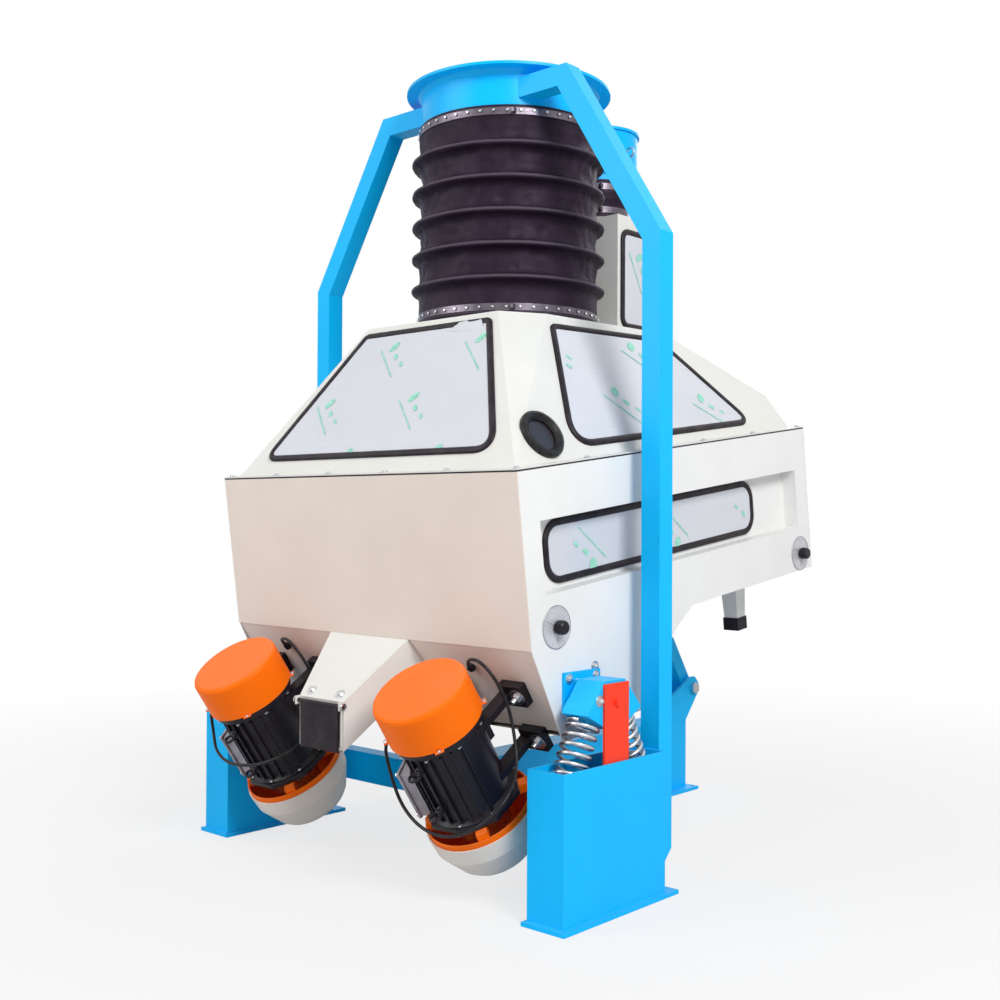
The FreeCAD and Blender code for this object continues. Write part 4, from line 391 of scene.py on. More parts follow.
# Finishes

GROUPS = {}
FINISHES = {}
HOOP_PITCH = 0.093
HOOP_START = 0.115
# Painted shade for the fold under each hoop of the duct sleeve.
PAINTED_FOLD_SHADE = (0.007, 0.002, 0.009, 1)
# Painted highlight with some dust along the crest of each hoop.
PAINTED_HOOP_HIGHLIGHT_AND_DUST = (0.098, 0.082, 0.106, 1)


def rgba(values):
    return (*values, 1)


def new_finish(key, name):
    """An empty material kept under its key: its node tree and its shader's inputs."""
    material = bpy.data.materials.new(name)
    material.use_nodes = True
    FINISHES[key] = material
    return material.node_tree, material.node_tree.nodes["Principled BSDF"].inputs


def dress(tree, shader, values):
    for key, value in values.items():
        put(tree, value, shader[key])


def finish_from(name, maker, inputs, bump, principled):
    """A material whose colour, roughness and relief come from a shader group."""
    if maker not in GROUPS:
        GROUPS[maker] = maker()
    tree, shader = new_finish(name, name)
    surface = add(tree, "ShaderNodeGroup", inputs, node_tree=GROUPS[maker]).outputs
    dress(tree, shader, {
        "Base Color": surface["Colour"], "Roughness": surface["Roughness"],
        "Normal": relief(tree, surface["Height"], bump, 1.0, Normal=surface["Normal"]),
        **principled})


def paint(name, shade, worn, edge, dust=0.15, gloss=0.36, bump=0.00012, specular=0.3):
    finish_from(name, sprayed_group,
                {"Paint": rgba(shade), "Worn": rgba(worn), "Wear": 0.3, "Dust": dust,
                 "Gloss": gloss, "Edge": edge}, bump, {"Specular IOR Level": specular})


def metal(name, base, stain, amount, rough, scale, metallic=1.0, bump=0.0001,
          specular=0.22):
    finish_from(name, scuffed_group,
                {"Base": rgba(base), "Stain": rgba(stain), "Amount": amount, "Rough": rough,
                 "Scale": scale}, bump,
                {"Metallic": metallic, "Specular IOR Level": 0.5 if metallic else specular})


def film_finish(shade):
    """Protective film: pale, softly cloudy, with long faint creases."""
    tree, shader = new_finish("film", "window_film")
    cloud = noise_at(tree, 6.0, 1.5, 0.4)
    crease = noise_at(tree, 2.4, 3.0, 0.5, (0.6, 0.6, 3.5))
    dress(tree, shader, {
        "Base Color": mixed(tree, ranged(tree, cloud, 0.15, 0.85, 0.0, 1.0),
                            (shade[0] * 0.97, shade[1] * 0.975, shade[2] * 0.98, 1),
                            (shade[0] * 1.06, shade[1] * 1.055, shade[2] * 1.05, 1)),
        "Roughness": ranged(tree, cloud, 0.15, 0.85, 0.24, 0.38),
        "Normal": relief(tree, crease, 0.003, 0.4),
        "Coat Weight": 0.3, "Coat Roughness": 0.22})


def clear_finish(name, tint, rough, transmission=0.9):
    """Glass with a faint smear in its gloss."""
    tree, shader = new_finish(name, name)
    smear = noise_at(tree, 22.0, 4.0)
    dress(tree, shader, {
        "Base Color": rgba(tint), "Transmission Weight": transmission, "IOR": 1.49,
        "Roughness": ranged(tree, smear, 0.35, 0.7, rough, rough + 0.06)})


def sleeve_finish(shade, hoop_level):
    """Coated cloth: a painted highlight with some dust along each wire hoop, and painted shade in
    the fold under it.
    """
    metal("sleeve", shade, (0.036, 0.021, 0.042), 0.7, 0.50, 16.0, 0.0, 0.0008, 0.14)
    tree = FINISHES["sleeve"].node_tree
    cloth = tree.nodes["Principled BSDF"].inputs["Base Color"]
    shown = cloth.links[0].from_socket
    height = add(tree, "ShaderNodeSeparateXYZ", {0: placed(tree)}).outputs["Z"]
    level = maths(tree, "SUBTRACT", height, hoop_level)
    nearest = maths(tree, "WRAP", level, HOOP_PITCH / 2, -HOOP_PITCH / 2)
    # Each hoop gets a band of painted shade in the fold under it and a band of painted highlight
    # with dust along its crest.
    for tint, most, start, full, last, end in ((PAINTED_FOLD_SHADE, 0.8, -0.040, -0.020, -0.010, -0.005),
                                               (PAINTED_HOOP_HIGHLIGHT_AND_DUST, 0.65, -0.006, -0.002, 0.002, 0.008)):
        band = maths(tree, "MULTIPLY", ranged(tree, nearest, start, full, 0.0, most),
                     ranged(tree, nearest, last, end, 1.0, 0.0))
        shown = mixed(tree, band, shown, tint)
    tree.links.new(shown, cloth)


def wood_finish(shade):
    """Planed wood with its grain along the deck."""
    tree, shader = new_finish("wood", "screen_wood")
    grain = noise_at(tree, 14.0, 6.0, 0.6, (1, 0.08, 1))
    fine = noise_at(tree, 140.0, 3.0, 0.6, (1, 0.05, 1))
    dark = rgba(part * 0.55 for part in shade)
    toned = mixed(tree, ranged(tree, grain, 0.35, 0.7, 0.0, 1.0), rgba(shade), dark)
    toned = mixed(tree, ranged(tree, fine, 0.4, 0.7, 0.0, 0.35), toned, dark)
    dress(tree, shader, {"Base Color": toned, "Roughness": 0.6,
                         "Normal": relief(tree, fine, 0.0004, 0.6)})


NODE_FINISH = {
    "blue": ("pedestal_left", "pedestal_right", "cross_beam", "centre_beam", "rear_leg",
             "arch_post_left", "arch_post_right", "suction_spout", "feed_spout",
             "spring_brackets", "rocker_arm"),
    "cream": ("end_panel", "rear_panel", "keel_pan", "motor_plate"),
    "white": ("side_panel_left", "side_panel_right", "rear_hanger", "stone_spout",
              "air_plate"),
    "hood": ("hood_shell", "feed_hopper", "product_chute"),
    "orange": ("motor_cap_left", "motor_cap_right", "motor_lower_caps"),
    "guard": ("motor_guards",),
    "enamel": ("motor_body_left", "motor_body_right"),
    "cover": ("terminal_boxes",),
    "red": ("transport_locks",),
    "rubber": ("hood_gasket", "stone_sleeve", "outlet_flap", "hood_window_seals",
               "side_window_seals"),
    "sleeve": ("main_bellows", "feed_sleeve"),
    "zinc": ("pivot_pin", "feed_gate", "springs_left", "springs_right",
             "motor_rotor_left", "motor_rotor_right"),
    "band": ("clamps_fixed", "clamps_moving"),
    "dial": ("dial_plates",),
    "plastic": ("lamp_bezel", "knob_front_left", "knob_front_right", "knob_rear_left",
                "knob_rear_right", "motor_cables"),
    "pane": ("hood_windows", "side_windows"),
    "lens": ("lamp_lens",),
    "wood": ("upper_screen", "lower_deck"),
}


class DESTONER_OT_finishes(bpy.types.Operator):
    """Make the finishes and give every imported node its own."""

    bl_idname = "destoner.finishes"
    bl_label = "Finishes"

    def execute(self, context):
        tone = context.scene.destoner_colours
        edge = context.scene.destoner_sizes.edge_round
        paint("blue", tone.frame_blue, (0.20, 0.50, 0.92), edge=edge, dust=0.10,
              specular=0.2)
        paint("cream", tone.box_cream, (0.72, 0.66, 0.60), edge=edge)
        paint("white", tone.side_white, (0.70, 0.70, 0.70), edge=edge)
        paint("hood", tone.hood_white, (0.70, 0.69, 0.66), edge=edge, dust=0.10)
        paint("orange", tone.cap_orange, (1.0, 0.34, 0.08), edge=edge, dust=0.16,
              gloss=0.42, specular=0.14)
        paint("guard", tone.guard_cream, (0.60, 0.56, 0.52), edge=edge, dust=0.3)
        paint("enamel", tone.motor_black, (0.10, 0.09, 0.10), edge=edge, gloss=0.30,
              dust=0.04, bump=0.0004)
        paint("red", tone.lock_red, (0.95, 0.25, 0.15), edge=edge * 0.6)
        metal("rubber", tone.rubber, (0.045, 0.036, 0.042), 0.5, 0.42, 26.0, 0.0)
        sleeve_finish(tone.cloth_rubber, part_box("main_bellows")[0].z + HOOP_START)
        metal("zinc", tone.zinc, (0.50, 0.47, 0.40), 0.25, 0.28, 60.0)
        metal("dial", (0.66, 0.67, 0.70), (0.52, 0.52, 0.55), 0.5, 0.34, 30.0, 0.35)
        metal("cover", (0.40, 0.38, 0.42), (0.20, 0.18, 0.22), 0.6, 0.40, 24.0, 0.5)
        metal("band", (0.16, 0.14, 0.17), (0.05, 0.04, 0.05), 0.6, 0.34, 30.0)
        metal("plastic", (0.013, 0.012, 0.014), (0.04, 0.04, 0.04), 0.4, 0.34, 60.0, 0.0)
        film_finish(tone.film)
        metal("ink", tone.mint, (0.52, 0.83, 0.74), 1.0, 0.45, 230.0, 0.0)
        clear_finish("pane", (0.93, 0.95, 0.96), 0.03)
        clear_finish("lens", (0.045, 0.032, 0.040), 0.24, 0.3)
        wood_finish(tone.wood)
        for name, nodes in NODE_FINISH.items():
            for node in nodes:
                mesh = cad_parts[node].data
                mesh.materials.clear()
                mesh.materials.append(FINISHES[name])
        return {"FINISHED"}


# Springs

SPRING_ACROSS = 0.628
SPRING_TOP = 0.456
SPRING_APART = 0.063
SPRING_REACH = 0.158
SPRING_SPLAY = math.radians(27)
OPEN_TURNS = 5.5
CLOSED_TURNS = 0.9
STEPS_PER_TURN = 26


def spring_axis(side, end):
    """Foot of a spring and the direction up its axis."""
    top = Vector((side * SPRING_ACROSS, SPRINGS_ALONG + end * SPRING_APART, SPRING_TOP))
    down = Vector((0, end * math.sin(SPRING_SPLAY), -math.cos(SPRING_SPLAY)))
    return top + down * SPRING_REACH, -down


def wound(bm, place, radius, wire, height):
    """Round wire wound with closed ends."""
    made = wire_section(bm, place @ Matrix.Translation((0, 0, wire / 2)), radius, wire / 2, 10)
    edges = edges_of(made)
    section = made + edges
    axis = place.to_3x3() @ UP
    closed = (CLOSED_TURNS, CLOSED_TURNS * wire)
    ends = [edges]
    for count, rise in (closed, (OPEN_TURNS, height - wire - 2 * closed[1]), closed):
        steps = int(count * STEPS_PER_TURN)
        section = bmesh.ops.spin(bm, geom=section, cent=place.translation, axis=axis,
                                 dvec=axis * rise / steps, angle=2 * math.pi * count,
                                 steps=steps, use_merge=False,
                                 use_duplicate=False)["geom_last"]
    ends.append([g for g in section if isinstance(g, bmesh.types.BMEdge)])
    for loop in ends:
        bmesh.ops.edgeloop_fill(bm, edges=loop)


class DESTONER_OT_springs(bpy.types.Operator):
    """Wind the four coil springs between the pedestals and the box."""

    bl_idname = "destoner.springs"
    bl_label = "Coil springs"

    def execute(self, context):
        sizes = context.scene.destoner_sizes
        for side, word in SIDES:
            bm = bmesh.new()
            for end in (-1, 1):
                foot, up = spring_axis(side, end)
                wound(bm, facing(Matrix(), foot, up),
                      sizes.spring_radius - sizes.spring_wire / 2, sizes.spring_wire,
                      sizes.spring_length)
            piece = keep("coil_springs_" + word, bm, FINISHES["zinc"], None, 60)
            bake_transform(piece)
            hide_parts("springs_" + word)
        return {"FINISHED"}


# Soft sleeves

CLOTH = 0.0022
HOOPS = 5
HOOP_STEPS = ((-0.040, 0.0), (-0.029, 0.03), (-0.0205, 0.11), (-0.0145, 0.30),
              (-0.0100, 0.63), (-0.0062, 0.91), (-0.0020, 1.0), (0.0025, 0.95),
              (0.0055, 0.62), (0.0085, 0.24), (0.015, 0.05), (0.028, -0.05), (0.042, -0.08))
FEED_STEPS = ((0.30, -0.002), (0.42, 0.003), (0.5, 0.005), (0.58, 0.003), (0.70, -0.002))


def crumple(verts, axis, depth, frequency, low, high, fade, skin, rise):
    """Push a turned sleeve's points in and out in soft folds, still at ends and hoops."""
    for vert in verts:
        out = Vector((vert.co.x - axis.x, vert.co.y - axis.y, 0))
        reach = out.length
        if reach < 1e-6:
            continue
        out /= reach
        calm = min(1, max(0, min(vert.co.z - low, high - vert.co.z) / fade))
        calm *= 1 - 0.75 * min(1, max(0, (reach - skin) / rise))
        point = Vector((out.x * frequency, out.y * frequency,
                        vert.co.z * frequency * 3.2 + math.atan2(out.y, out.x) * 0.8))
        soft = noise.noise(point)
        crease = 1 - abs(noise.noise(point * 2.1 + Vector((7, 3, 1)))) * 2.4
        vert.co += out * depth * calm * (0.75 * soft + 0.45 * crease - 0.55)


def soft_sleeve(name, packed, axis, profile, steps, folds):
    """A turned sleeve of creased cloth between the box below and the stand above."""
    bm = bmesh.new()
    revolved(bm, Matrix.Translation(axis), profile, steps)
    bmesh.ops.remove_doubles(bm, verts=bm.verts, dist=MERGE_REACH)
    crumple(bm.verts, axis, *folds)
    bmesh.ops.recalc_face_normals(bm, faces=bm.faces)
    bmesh.ops.solidify(bm, geom=list(bm.faces), thickness=CLOTH)
    piece = keep(name, bm, FINISHES["sleeve"], None, 70)
    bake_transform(piece)
    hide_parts(packed)


class DESTONER_OT_sleeves(bpy.types.Operator):
    """Shape the wired duct sleeve and the feed sleeve in coated cloth."""

    bl_idname = "destoner.sleeves"
    bl_label = "Duct and feed sleeves"

    def execute(self, context):
        sizes = context.scene.destoner_sizes
        low, high = (corner.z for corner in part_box("main_bellows"))
        skin = sizes.sleeve_radius
        rise = sizes.ring_rise
        profile = [(skin, low), (skin, low + 0.03), (skin + 0.001, low + 0.052)]
        for index in range(HOOPS):
            middle = low + HOOP_START + HOOP_PITCH * index
            profile += [(skin + rise * share, middle + shift) for shift, share in HOOP_STEPS]
        profile += [(skin + 0.001, high - 0.044), (skin, high - 0.03), (skin, high)]
        soft_sleeve("duct_sleeve", "main_bellows", DUCT_AXIS, profile, 180,
                    (sizes.fold_depth, 3.6, low + 0.092, high - 0.040, 0.04, skin, rise))
        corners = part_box("feed_sleeve")
        low, high = (corner.z for corner in corners)
        skin = (corners[1].x - corners[0].x) / 2
        profile = [(skin, low), (skin, low + 0.024)]
        profile += [(skin + bulge, low + (high - low) * share) for share, bulge in FEED_STEPS]
        profile += [(skin, high - 0.024), (skin, high)]
        soft_sleeve("grain_sleeve", "feed_sleeve", FEED_AXIS, profile, 96,
                    (0.003, 4.0, low + 0.028, high - 0.028, 0.02, skin, 0.02))
        return {"FINISHED"}


# Windows

HOOD_INSET = 0.033
HOOD_FOOT = 0.007
BROW_ALONG = 0.331
BROW_HALF = 0.254
CHEEK_ALONG = BROW_ALONG + 0.122
CHEEK_HALF = 0.319
HEEL_ALONG = 1.3
HEEL_RISE = 0.11
BACK_SLOPE = math.tan(math.radians(30.5))


def hood_corners():
    """Corner points of the hood's outside in the box frame, right side."""
    half = BODY_HALF - HOOD_INSET

    def level(along):
        return (HOOD_TOP - SEAM.z - along * math.sin(INCLINATION)) / math.cos(INCLINATION)

    lean = (half - CHEEK_HALF) / (level(CHEEK_ALONG) - HOOD_FOOT)
    crown = (level(0) - HEEL_RISE - BACK_SLOPE * HEEL_ALONG) / (
        math.tan(INCLINATION) - BACK_SLOPE)
    return {
        "foot_front": Vector((half, HOOD_INSET, HOOD_FOOT)),
        "foot_rear": Vector((half, BODY_LENGTH - HOOD_INSET, HOOD_FOOT)),
        "crown": Vector((half - lean * (level(crown) - HOOD_FOOT), crown, level(crown))),
        "brow": Vector((BROW_HALF, BROW_ALONG, level(BROW_ALONG))),
    }


def face_place(origin, toward, inside):
    x_axis = (toward - origin).normalized()
    normal = x_axis.cross(inside - origin).normalized()
    y_axis = normal.cross(x_axis)
    turn = Matrix((x_axis, y_axis, normal)).transposed().to_4x4()
    return BOX_PLACE @ Matrix.Translation(origin) @ turn


def mirrored(point):
    return Vector((-point.x, point.y, point.z))


def glazing():
    """Every window: its name, its face's frame, its corners and their radii."""
    right = hood_corners()
    left = {key: mirrored(point) for key, point in right.items()}
    middle = (right["foot_front"] + left["foot_front"]) / 2
    place = face_place(middle, right["foot_front"], (right["brow"] + left["brow"]) / 2)
    height = (right["brow"] - Vector((BROW_HALF, HOOD_INSET, HOOD_FOOT))).length
    found = [("front", place, [(-0.455, 0.045), (0.455, 0.045), (0.245, height - 0.022),
                               (-0.245, height - 0.022)], (0.034, 0.048, 0.026, 0.026))]
    outline = [(0.229, 0.028), (1.109, 0.028), (0.860, 0.345), (0.407, 0.402)]
    radii = (0.062, 0.034, 0.040, 0.026)
    place = face_place(right["foot_front"], right["foot_rear"], right["crown"])
    found.append(("hood_right", place, outline, radii))
    place = face_place(left["foot_rear"], left["foot_front"], left["crown"])
    span = (left["foot_rear"] - left["foot_front"]).length
    found.append(("hood_left", place, [(span - x, y) for x, y in outline][::-1], radii[::-1]))
    for side, word in SIDES:
        turn = Matrix(((0, 0, side), (side, 0, 0), (0, 1, 0))).to_4x4()
        place = BOX_PLACE @ Matrix.Translation((side * (BODY_HALF - 0.045), 0, 0)) @ turn
        near, far = sorted((side * 0.122, side * 1.1))
        found.append(("side_" + word, place, [(near, -0.29), (far, -0.29), (far, -0.13),
                                              (near, -0.13)], (0.058,) * 4))
        place = Matrix.Translation((side * 0.172, -SETBACK, 0)) @ turn
        near, far = sorted((side * 0.326, side * 0.534))
        found.append(("hopper_" + word, place, [(near, 1.52), (far, 1.52), (far, 1.83),
                                                (near, 1.83)], (0.036,) * 4))
    return found


def rounded_face(bm, points, radii):
    """A flat face with an arc at every corner."""
    verts = [bm.verts.new((x, y, 0)) for x, y in points]
    bm.faces.new(verts)
    count = len(points)
    for index, radius in enumerate(radii):
        here = Vector(points[index])
        before = Vector(points[index - 1]) - here
        after = Vector(points[(index + 1) % count]) - here
        reach = radius / math.tan(before.angle(after) / 2)
        bmesh.ops.bevel(bm, geom=[verts[index]], offset=reach, segments=9, profile=0.5,
                        affect="VERTICES", material=-1)
    bm.faces.ensure_lookup_table()
    return bm.faces[0]


LIP_STEPS = ((0.0002, 0.0035), (0.0018, 0.0027), (0.0036, 0.0014), (0.0044, 0.0003),
             (0.0042, -0.0006), (0.0034, -0.0022), (0.0018, -0.0030), (0.0004, -0.0040))
FILM_LIFT = 0.0041
FILM_GRID = 0.009
FOLD_DEPTH = 0.0009
FOLD_HALF = 0.0022
MARK_LIFT = 0.0053
TORN_LEVELS = (0.0046, 0.0088)


def inset(bm, face, thickness, depth=0.0):
    bmesh.ops.inset_region(bm, faces=[face], thickness=thickness, depth=depth,
                           use_boundary=True, use_even_offset=True)


def cut_flat(bm, point, normal, outer=False):
    bmesh.ops.bisect_plane(bm, geom=[*bm.verts, *bm.edges, *bm.faces], plane_co=point,
                           plane_no=normal, dist=1e-6, clear_outer=outer)


def pour(bm, place, into):
    """Move a flat piece to its place and add it to a mesh of many."""
    bmesh.ops.transform(bm, matrix=place, verts=bm.verts)
    mesh = bpy.data.meshes.new("poured")
    bm.to_mesh(mesh)
    bm.free()
    into.from_mesh(mesh)
    bpy.data.meshes.remove(mesh)


def bead_seal(bm_all, place, points, radii):
    """A rounded rubber lip round a window, closed underneath."""
    bm = bmesh.new()
    face = rounded_face(bm, points, radii)
    bmesh.ops.translate(bm, verts=bm.verts, vec=(0, 0, SEAT_GAP))
    for thickness, depth in LIP_STEPS:
        inset(bm, face, thickness, depth)
    bmesh.ops.delete(bm, geom=[face], context="FACES_ONLY")
    bmesh.ops.bridge_loops(bm, edges=[edge for edge in bm.edges if edge.is_boundary])
    pour(bm, place, bm_all)


def film_sheet(bm_all, place, points, radii, seed, lip, folds):
    """Film stuck on a pane, a little loose and folded, trimmed along the seal's inner edge."""
    edge = bmesh.new()
    face = rounded_face(edge, points, radii)
    inset(edge, face, lip - 0.0015)
    rim = [vert.co.copy() for vert in face.verts]
    edge.free()
    low = [min(point[axis] for point in rim) for axis in (0, 1)]
    high = [max(point[axis] for point in rim) for axis in (0, 1)]
    centre = Vector(((low[0] + high[0]) / 2, (low[1] + high[1]) / 2, 0))
    spans = [far - near for near, far in zip(low, high)]
    bm = bmesh.new()
    size = Matrix.Diagonal((spans[0] / 2 + 0.01, spans[1] / 2 + 0.01, 1, 1))
    bmesh.ops.create_grid(bm, x_segments=int(spans[0] / FILM_GRID),
                          y_segments=int(spans[1] / FILM_GRID), size=1,
                          matrix=Matrix.Translation(centre) @ size)
    for first, second in zip(rim, rim[1:] + rim[:1]):
        run = second - first
        if run.length < 1e-6:
            continue
        normal = Vector((run.y, -run.x, 0)).normalized()
        if normal.dot(first - centre) < 0:
            normal = -normal
        cut_flat(bm, first, normal, True)
    lines = []
    for x, y, far_x, far_y in folds:
        start = Vector((x, y, 0))
        run = Vector((far_x, far_y, 0)) - start
        normal = Vector((-run.y, run.x, 0)).normalized()
        for shift in (-FOLD_HALF, 0, FOLD_HALF):
            cut_flat(bm, start + normal * shift, normal)
        lines.append((start, normal))
    for vert in bm.verts:
        flat = vert.co.copy()
        point = Vector((flat.x * 5, flat.y * 14, seed))
        crease = max(0, 1 - abs(noise.noise(point)) * 2.6) ** 2
        loose = noise.noise(Vector((flat.x * 12, flat.y * 12, seed + 4)))
        vert.co.z = FILM_LIFT + 0.0005 * crease + 0.0003 * loose
        for start, normal in lines:
            if abs((flat - start).dot(normal)) < 0.0006:
                vert.co.z -= FOLD_DEPTH
    pour(bm, place, bm_all)


TORN_EDGE = ((0.105, -0.024), (0.136, -0.007), (0.163, -0.005), (0.172, -0.011),
             (0.203, -0.010), (0.213, -0.006), (0.222, -0.016), (0.230, -0.032),
             (0.222, -0.040), (0.105, -0.032))


def torn_film(bm, place, top):
    """The ragged corner of film that lies over the front window's seal."""
    verts = []
    for x, y in TORN_EDGE:
        level = TORN_LEVELS[y > -0.02]
        verts.append(bm.verts.new(place @ Vector((x, top + y, level))))
    face = bm.faces.new(verts)
    bmesh.ops.triangulate(bm, faces=[face])


MARK_LEAVES = {"leaf": (0.020, 0.0105), "round": (0.0165, 0.0135), "bud": (0.013, 0.0095)}
MARK_BARS = {"line": (-0.043, -0.035, 0.138, 0.0021), "near": (-0.008, -0.042, 0.022, 0.0065),
             "far": (-0.002, -0.086, 0.019, 0.0048)}
WHOLE_MARK = ("leaf", "line", "near", "far")
ROUND_MARK = ("round", "line", "near", "far")


def leaf_mark(bm, place, x, y, turn, parts):
    """One plain mark of the film about its leaf: a thin line and two short bars."""
    spot = place @ Matrix.Translation((x, y, MARK_LIFT)) @ Matrix.Rotation(turn, 4, "Z")
    for name, (long_half, short_half) in MARK_LEAVES.items():
        if name in parts:
            leaf = spot @ Matrix.Diagonal((long_half, short_half, 1, 1))
            bmesh.ops.create_circle(bm, cap_ends=True, segments=14, radius=1, matrix=leaf)
    for name, (across, middle, span, thick) in MARK_BARS.items():
        if name in parts:
            bar = spot @ Matrix.Translation((across, middle, 0))
            bar = bar @ Matrix.Diagonal((thick, span / 2, 1, 1))
            bmesh.ops.create_grid(bm, x_segments=1, y_segments=4, size=1, matrix=bar)


FILM_MARKS = {
    "front": ((-0.093, 0.410, 0.765, WHOLE_MARK), (0.239, 0.404, 0.765, ("leaf", "line")),
              (-0.264, 0.231, 0.765, WHOLE_MARK), (0.078, 0.229, 0.765, WHOLE_MARK),
              (-0.085, 0.064, 0.765, ("bud",)), (0.253, 0.064, 0.765, ("bud",))),
    "hood_right": ((0.521, 0.176, 0.80, ROUND_MARK), (0.705, 0.316, 0.86, ROUND_MARK),
                   (0.903, 0.131, 0.95, ROUND_MARK), (0.347, 0.353, 0.80, ("far",)),
                   (0.329, 0.326, 0.80, ("far",))),
    "hood_left": ((0.436, 0.176, -0.80, ROUND_MARK), (0.620, 0.290, -0.86, ROUND_MARK),
                  (0.800, 0.131, -0.95, ROUND_MARK)),
    "side_right": ((0.309, -0.262, -2.29, ROUND_MARK), (0.690, -0.262, -2.29, ROUND_MARK),
                   (1.068, -0.261, -2.29, ("near", "far"))),
    "side_left": ((-0.309, -0.262, 2.29, ROUND_MARK), (-0.690, -0.262, 2.29, ROUND_MARK),
                  (-0.985, -0.262, 2.29, ("round", "near"))),
    "hopper_left": ((-0.43, 1.75, 0.5, WHOLE_MARK),),
    "hopper_right": ((0.42, 1.75, 0.5, WHOLE_MARK),),
}
FILM_FOLDS = {
    "front": ((-0.32, 0.282, 0.31, 0.276), (-0.41, 0.102, 0.41, 0.099)),
    "hood_right": ((0.30, 0.238, 1.0, 0.226), (0.30, 0.072, 1.0, 0.068)),
    "hood_left": ((0.30, 0.226, 1.0, 0.238), (0.30, 0.068, 1.0, 0.072)),
}


class DESTONER_OT_windows(bpy.types.Operator):
    """Fit the rubber lips, the films and their plain marks to the windows."""

    bl_idname = "destoner.windows"
    bl_label = "Window seals and films"

    def execute(self, context):
        lips = {"hood": bmesh.new(), "side": bmesh.new()}
        films = bmesh.new()
        marks = bmesh.new()
        lip = context.scene.destoner_sizes.seal_width
        for index, (name, place, points, radii) in enumerate(glazing()):
            key = "side" if name.startswith("side") else "hood"
            bead_seal(lips[key], place, points, radii)
            film_sheet(films, place, points, radii, 3.7 * index, lip,
                       FILM_FOLDS.get(name, ()))
            for x, y, turn, parts in FILM_MARKS[name]:
                leaf_mark(marks, place, x, y, turn, parts)
            if name == "front":
                torn_film(films, place, points[2][1])
        piece = keep("hood_seal_lips", lips["hood"], FINISHES["rubber"],
                     "sieve_box", 50)
        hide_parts("hood_window_seals")
        piece = keep("side_seal_lips", lips["side"], FINISHES["rubber"],
                     "sieve_box", 50)
        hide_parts("side_window_seals")
        keep("window_films", films, FINISHES["film"], "sieve_box", 180)
        keep("film_marks", marks, FINISHES["ink"], "sieve_box", 180)
        return {"FINISHED"}


# Motor cables

CABLE_START = ((-0.103, -0.037, 0.039), (-0.103, -0.037, 0.092), (-0.150, -0.055, 0.092))
CABLE_LOOPS = {
    1: ((-0.160, -0.075, 0.010), (-0.120, -0.118, -0.062), (-0.030, -0.150, -0.092),
        (0.070, -0.152, -0.086), (0.160, -0.128, -0.050), (0.196, -0.050, -0.028),
        (0.160, 0.040, -0.020)),
    -1: ((-0.160, -0.075, 0.030), (-0.110, -0.126, 0.0), (-0.020, -0.152, -0.006),
         (0.076, -0.146, 0.0), (0.150, -0.112, 0.006), (0.186, -0.040, 0.006),
         (0.160, 0.040, 0.006)),
}
CABLE_END = ((0.132, 0.100, 0.040), (0.124, 0.124, 0.104), (0.118, 0.126, 0.172),
             (0.076, 0.138, 0.214), (0.008, 0.154, 0.190), (-0.020, 0.184, 0.140))


class DESTONER_OT_cables(bpy.types.Operator):
    """Hang the motors' supply cables in their loops."""

    bl_idname = "destoner.cables"
    bl_label = "Motor cables"

    def execute(self, context):
        radius = context.scene.destoner_sizes.cable_radius
        for side, word in SIDES:
            place = motor_place(side)
            points = [place @ Vector(p) for p in CABLE_START + CABLE_LOOPS[side] + CABLE_END]
            data = bpy.data.curves.new("motor_cable_" + word, "CURVE")
            data.dimensions = "3D"
            spline = data.splines.new("NURBS")
            spline.points.add(len(points) - 1)
            for point, spot in zip(spline.points, points):
                point.co = (*spot, 1)
            spline.order_u = 3
            spline.use_endpoint_u = True
            spline.resolution_u = 12
            data.bevel_depth = radius
            data.bevel_resolution = 4
            data.use_fill_caps = True
            data.materials.append(FINISHES["plastic"])
            piece = bpy.data.objects.new("motor_cable_" + word, data)
            context.scene.collection.objects.link(piece)
            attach(piece, "sieve_box")
            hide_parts("motor_cables")
            bm = bmesh.new()
            for here, after in ((points[0], points[1]), (points[-1], points[-2])):
                seat = facing(Matrix(), here, after - here)
                solid_disc(bm, seat @ Matrix.Translation((0, 0, -0.004)), 0.0115, 0.010, 6,
                           chamfer=0.001)
                solid_disc(bm, seat @ Matrix.Translation((0, 0, 0.005)), 0.0092, 0.008, 16,
                           top=0.0078, chamfer=0.001)
                revolved(bm, seat, ((0.0034, 0.010), (0.0070, 0.0125), (0.0064, 0.018),
                                    (0.0054, 0.026), (0.0042, 0.034), (0.0034, 0.036)), 18)
            glands = keep("cable_glands_" + word, bm, FINISHES["plastic"],
                          "sieve_box")
        return {"FINISHED"}


# Motor fittings

RIM_BOLTS = MOTOR_HALF - 0.020
LID_BOLTS = [(across, -0.1398, level) for across in (-0.041, 0.041) for level in (-0.115, 0.015)]


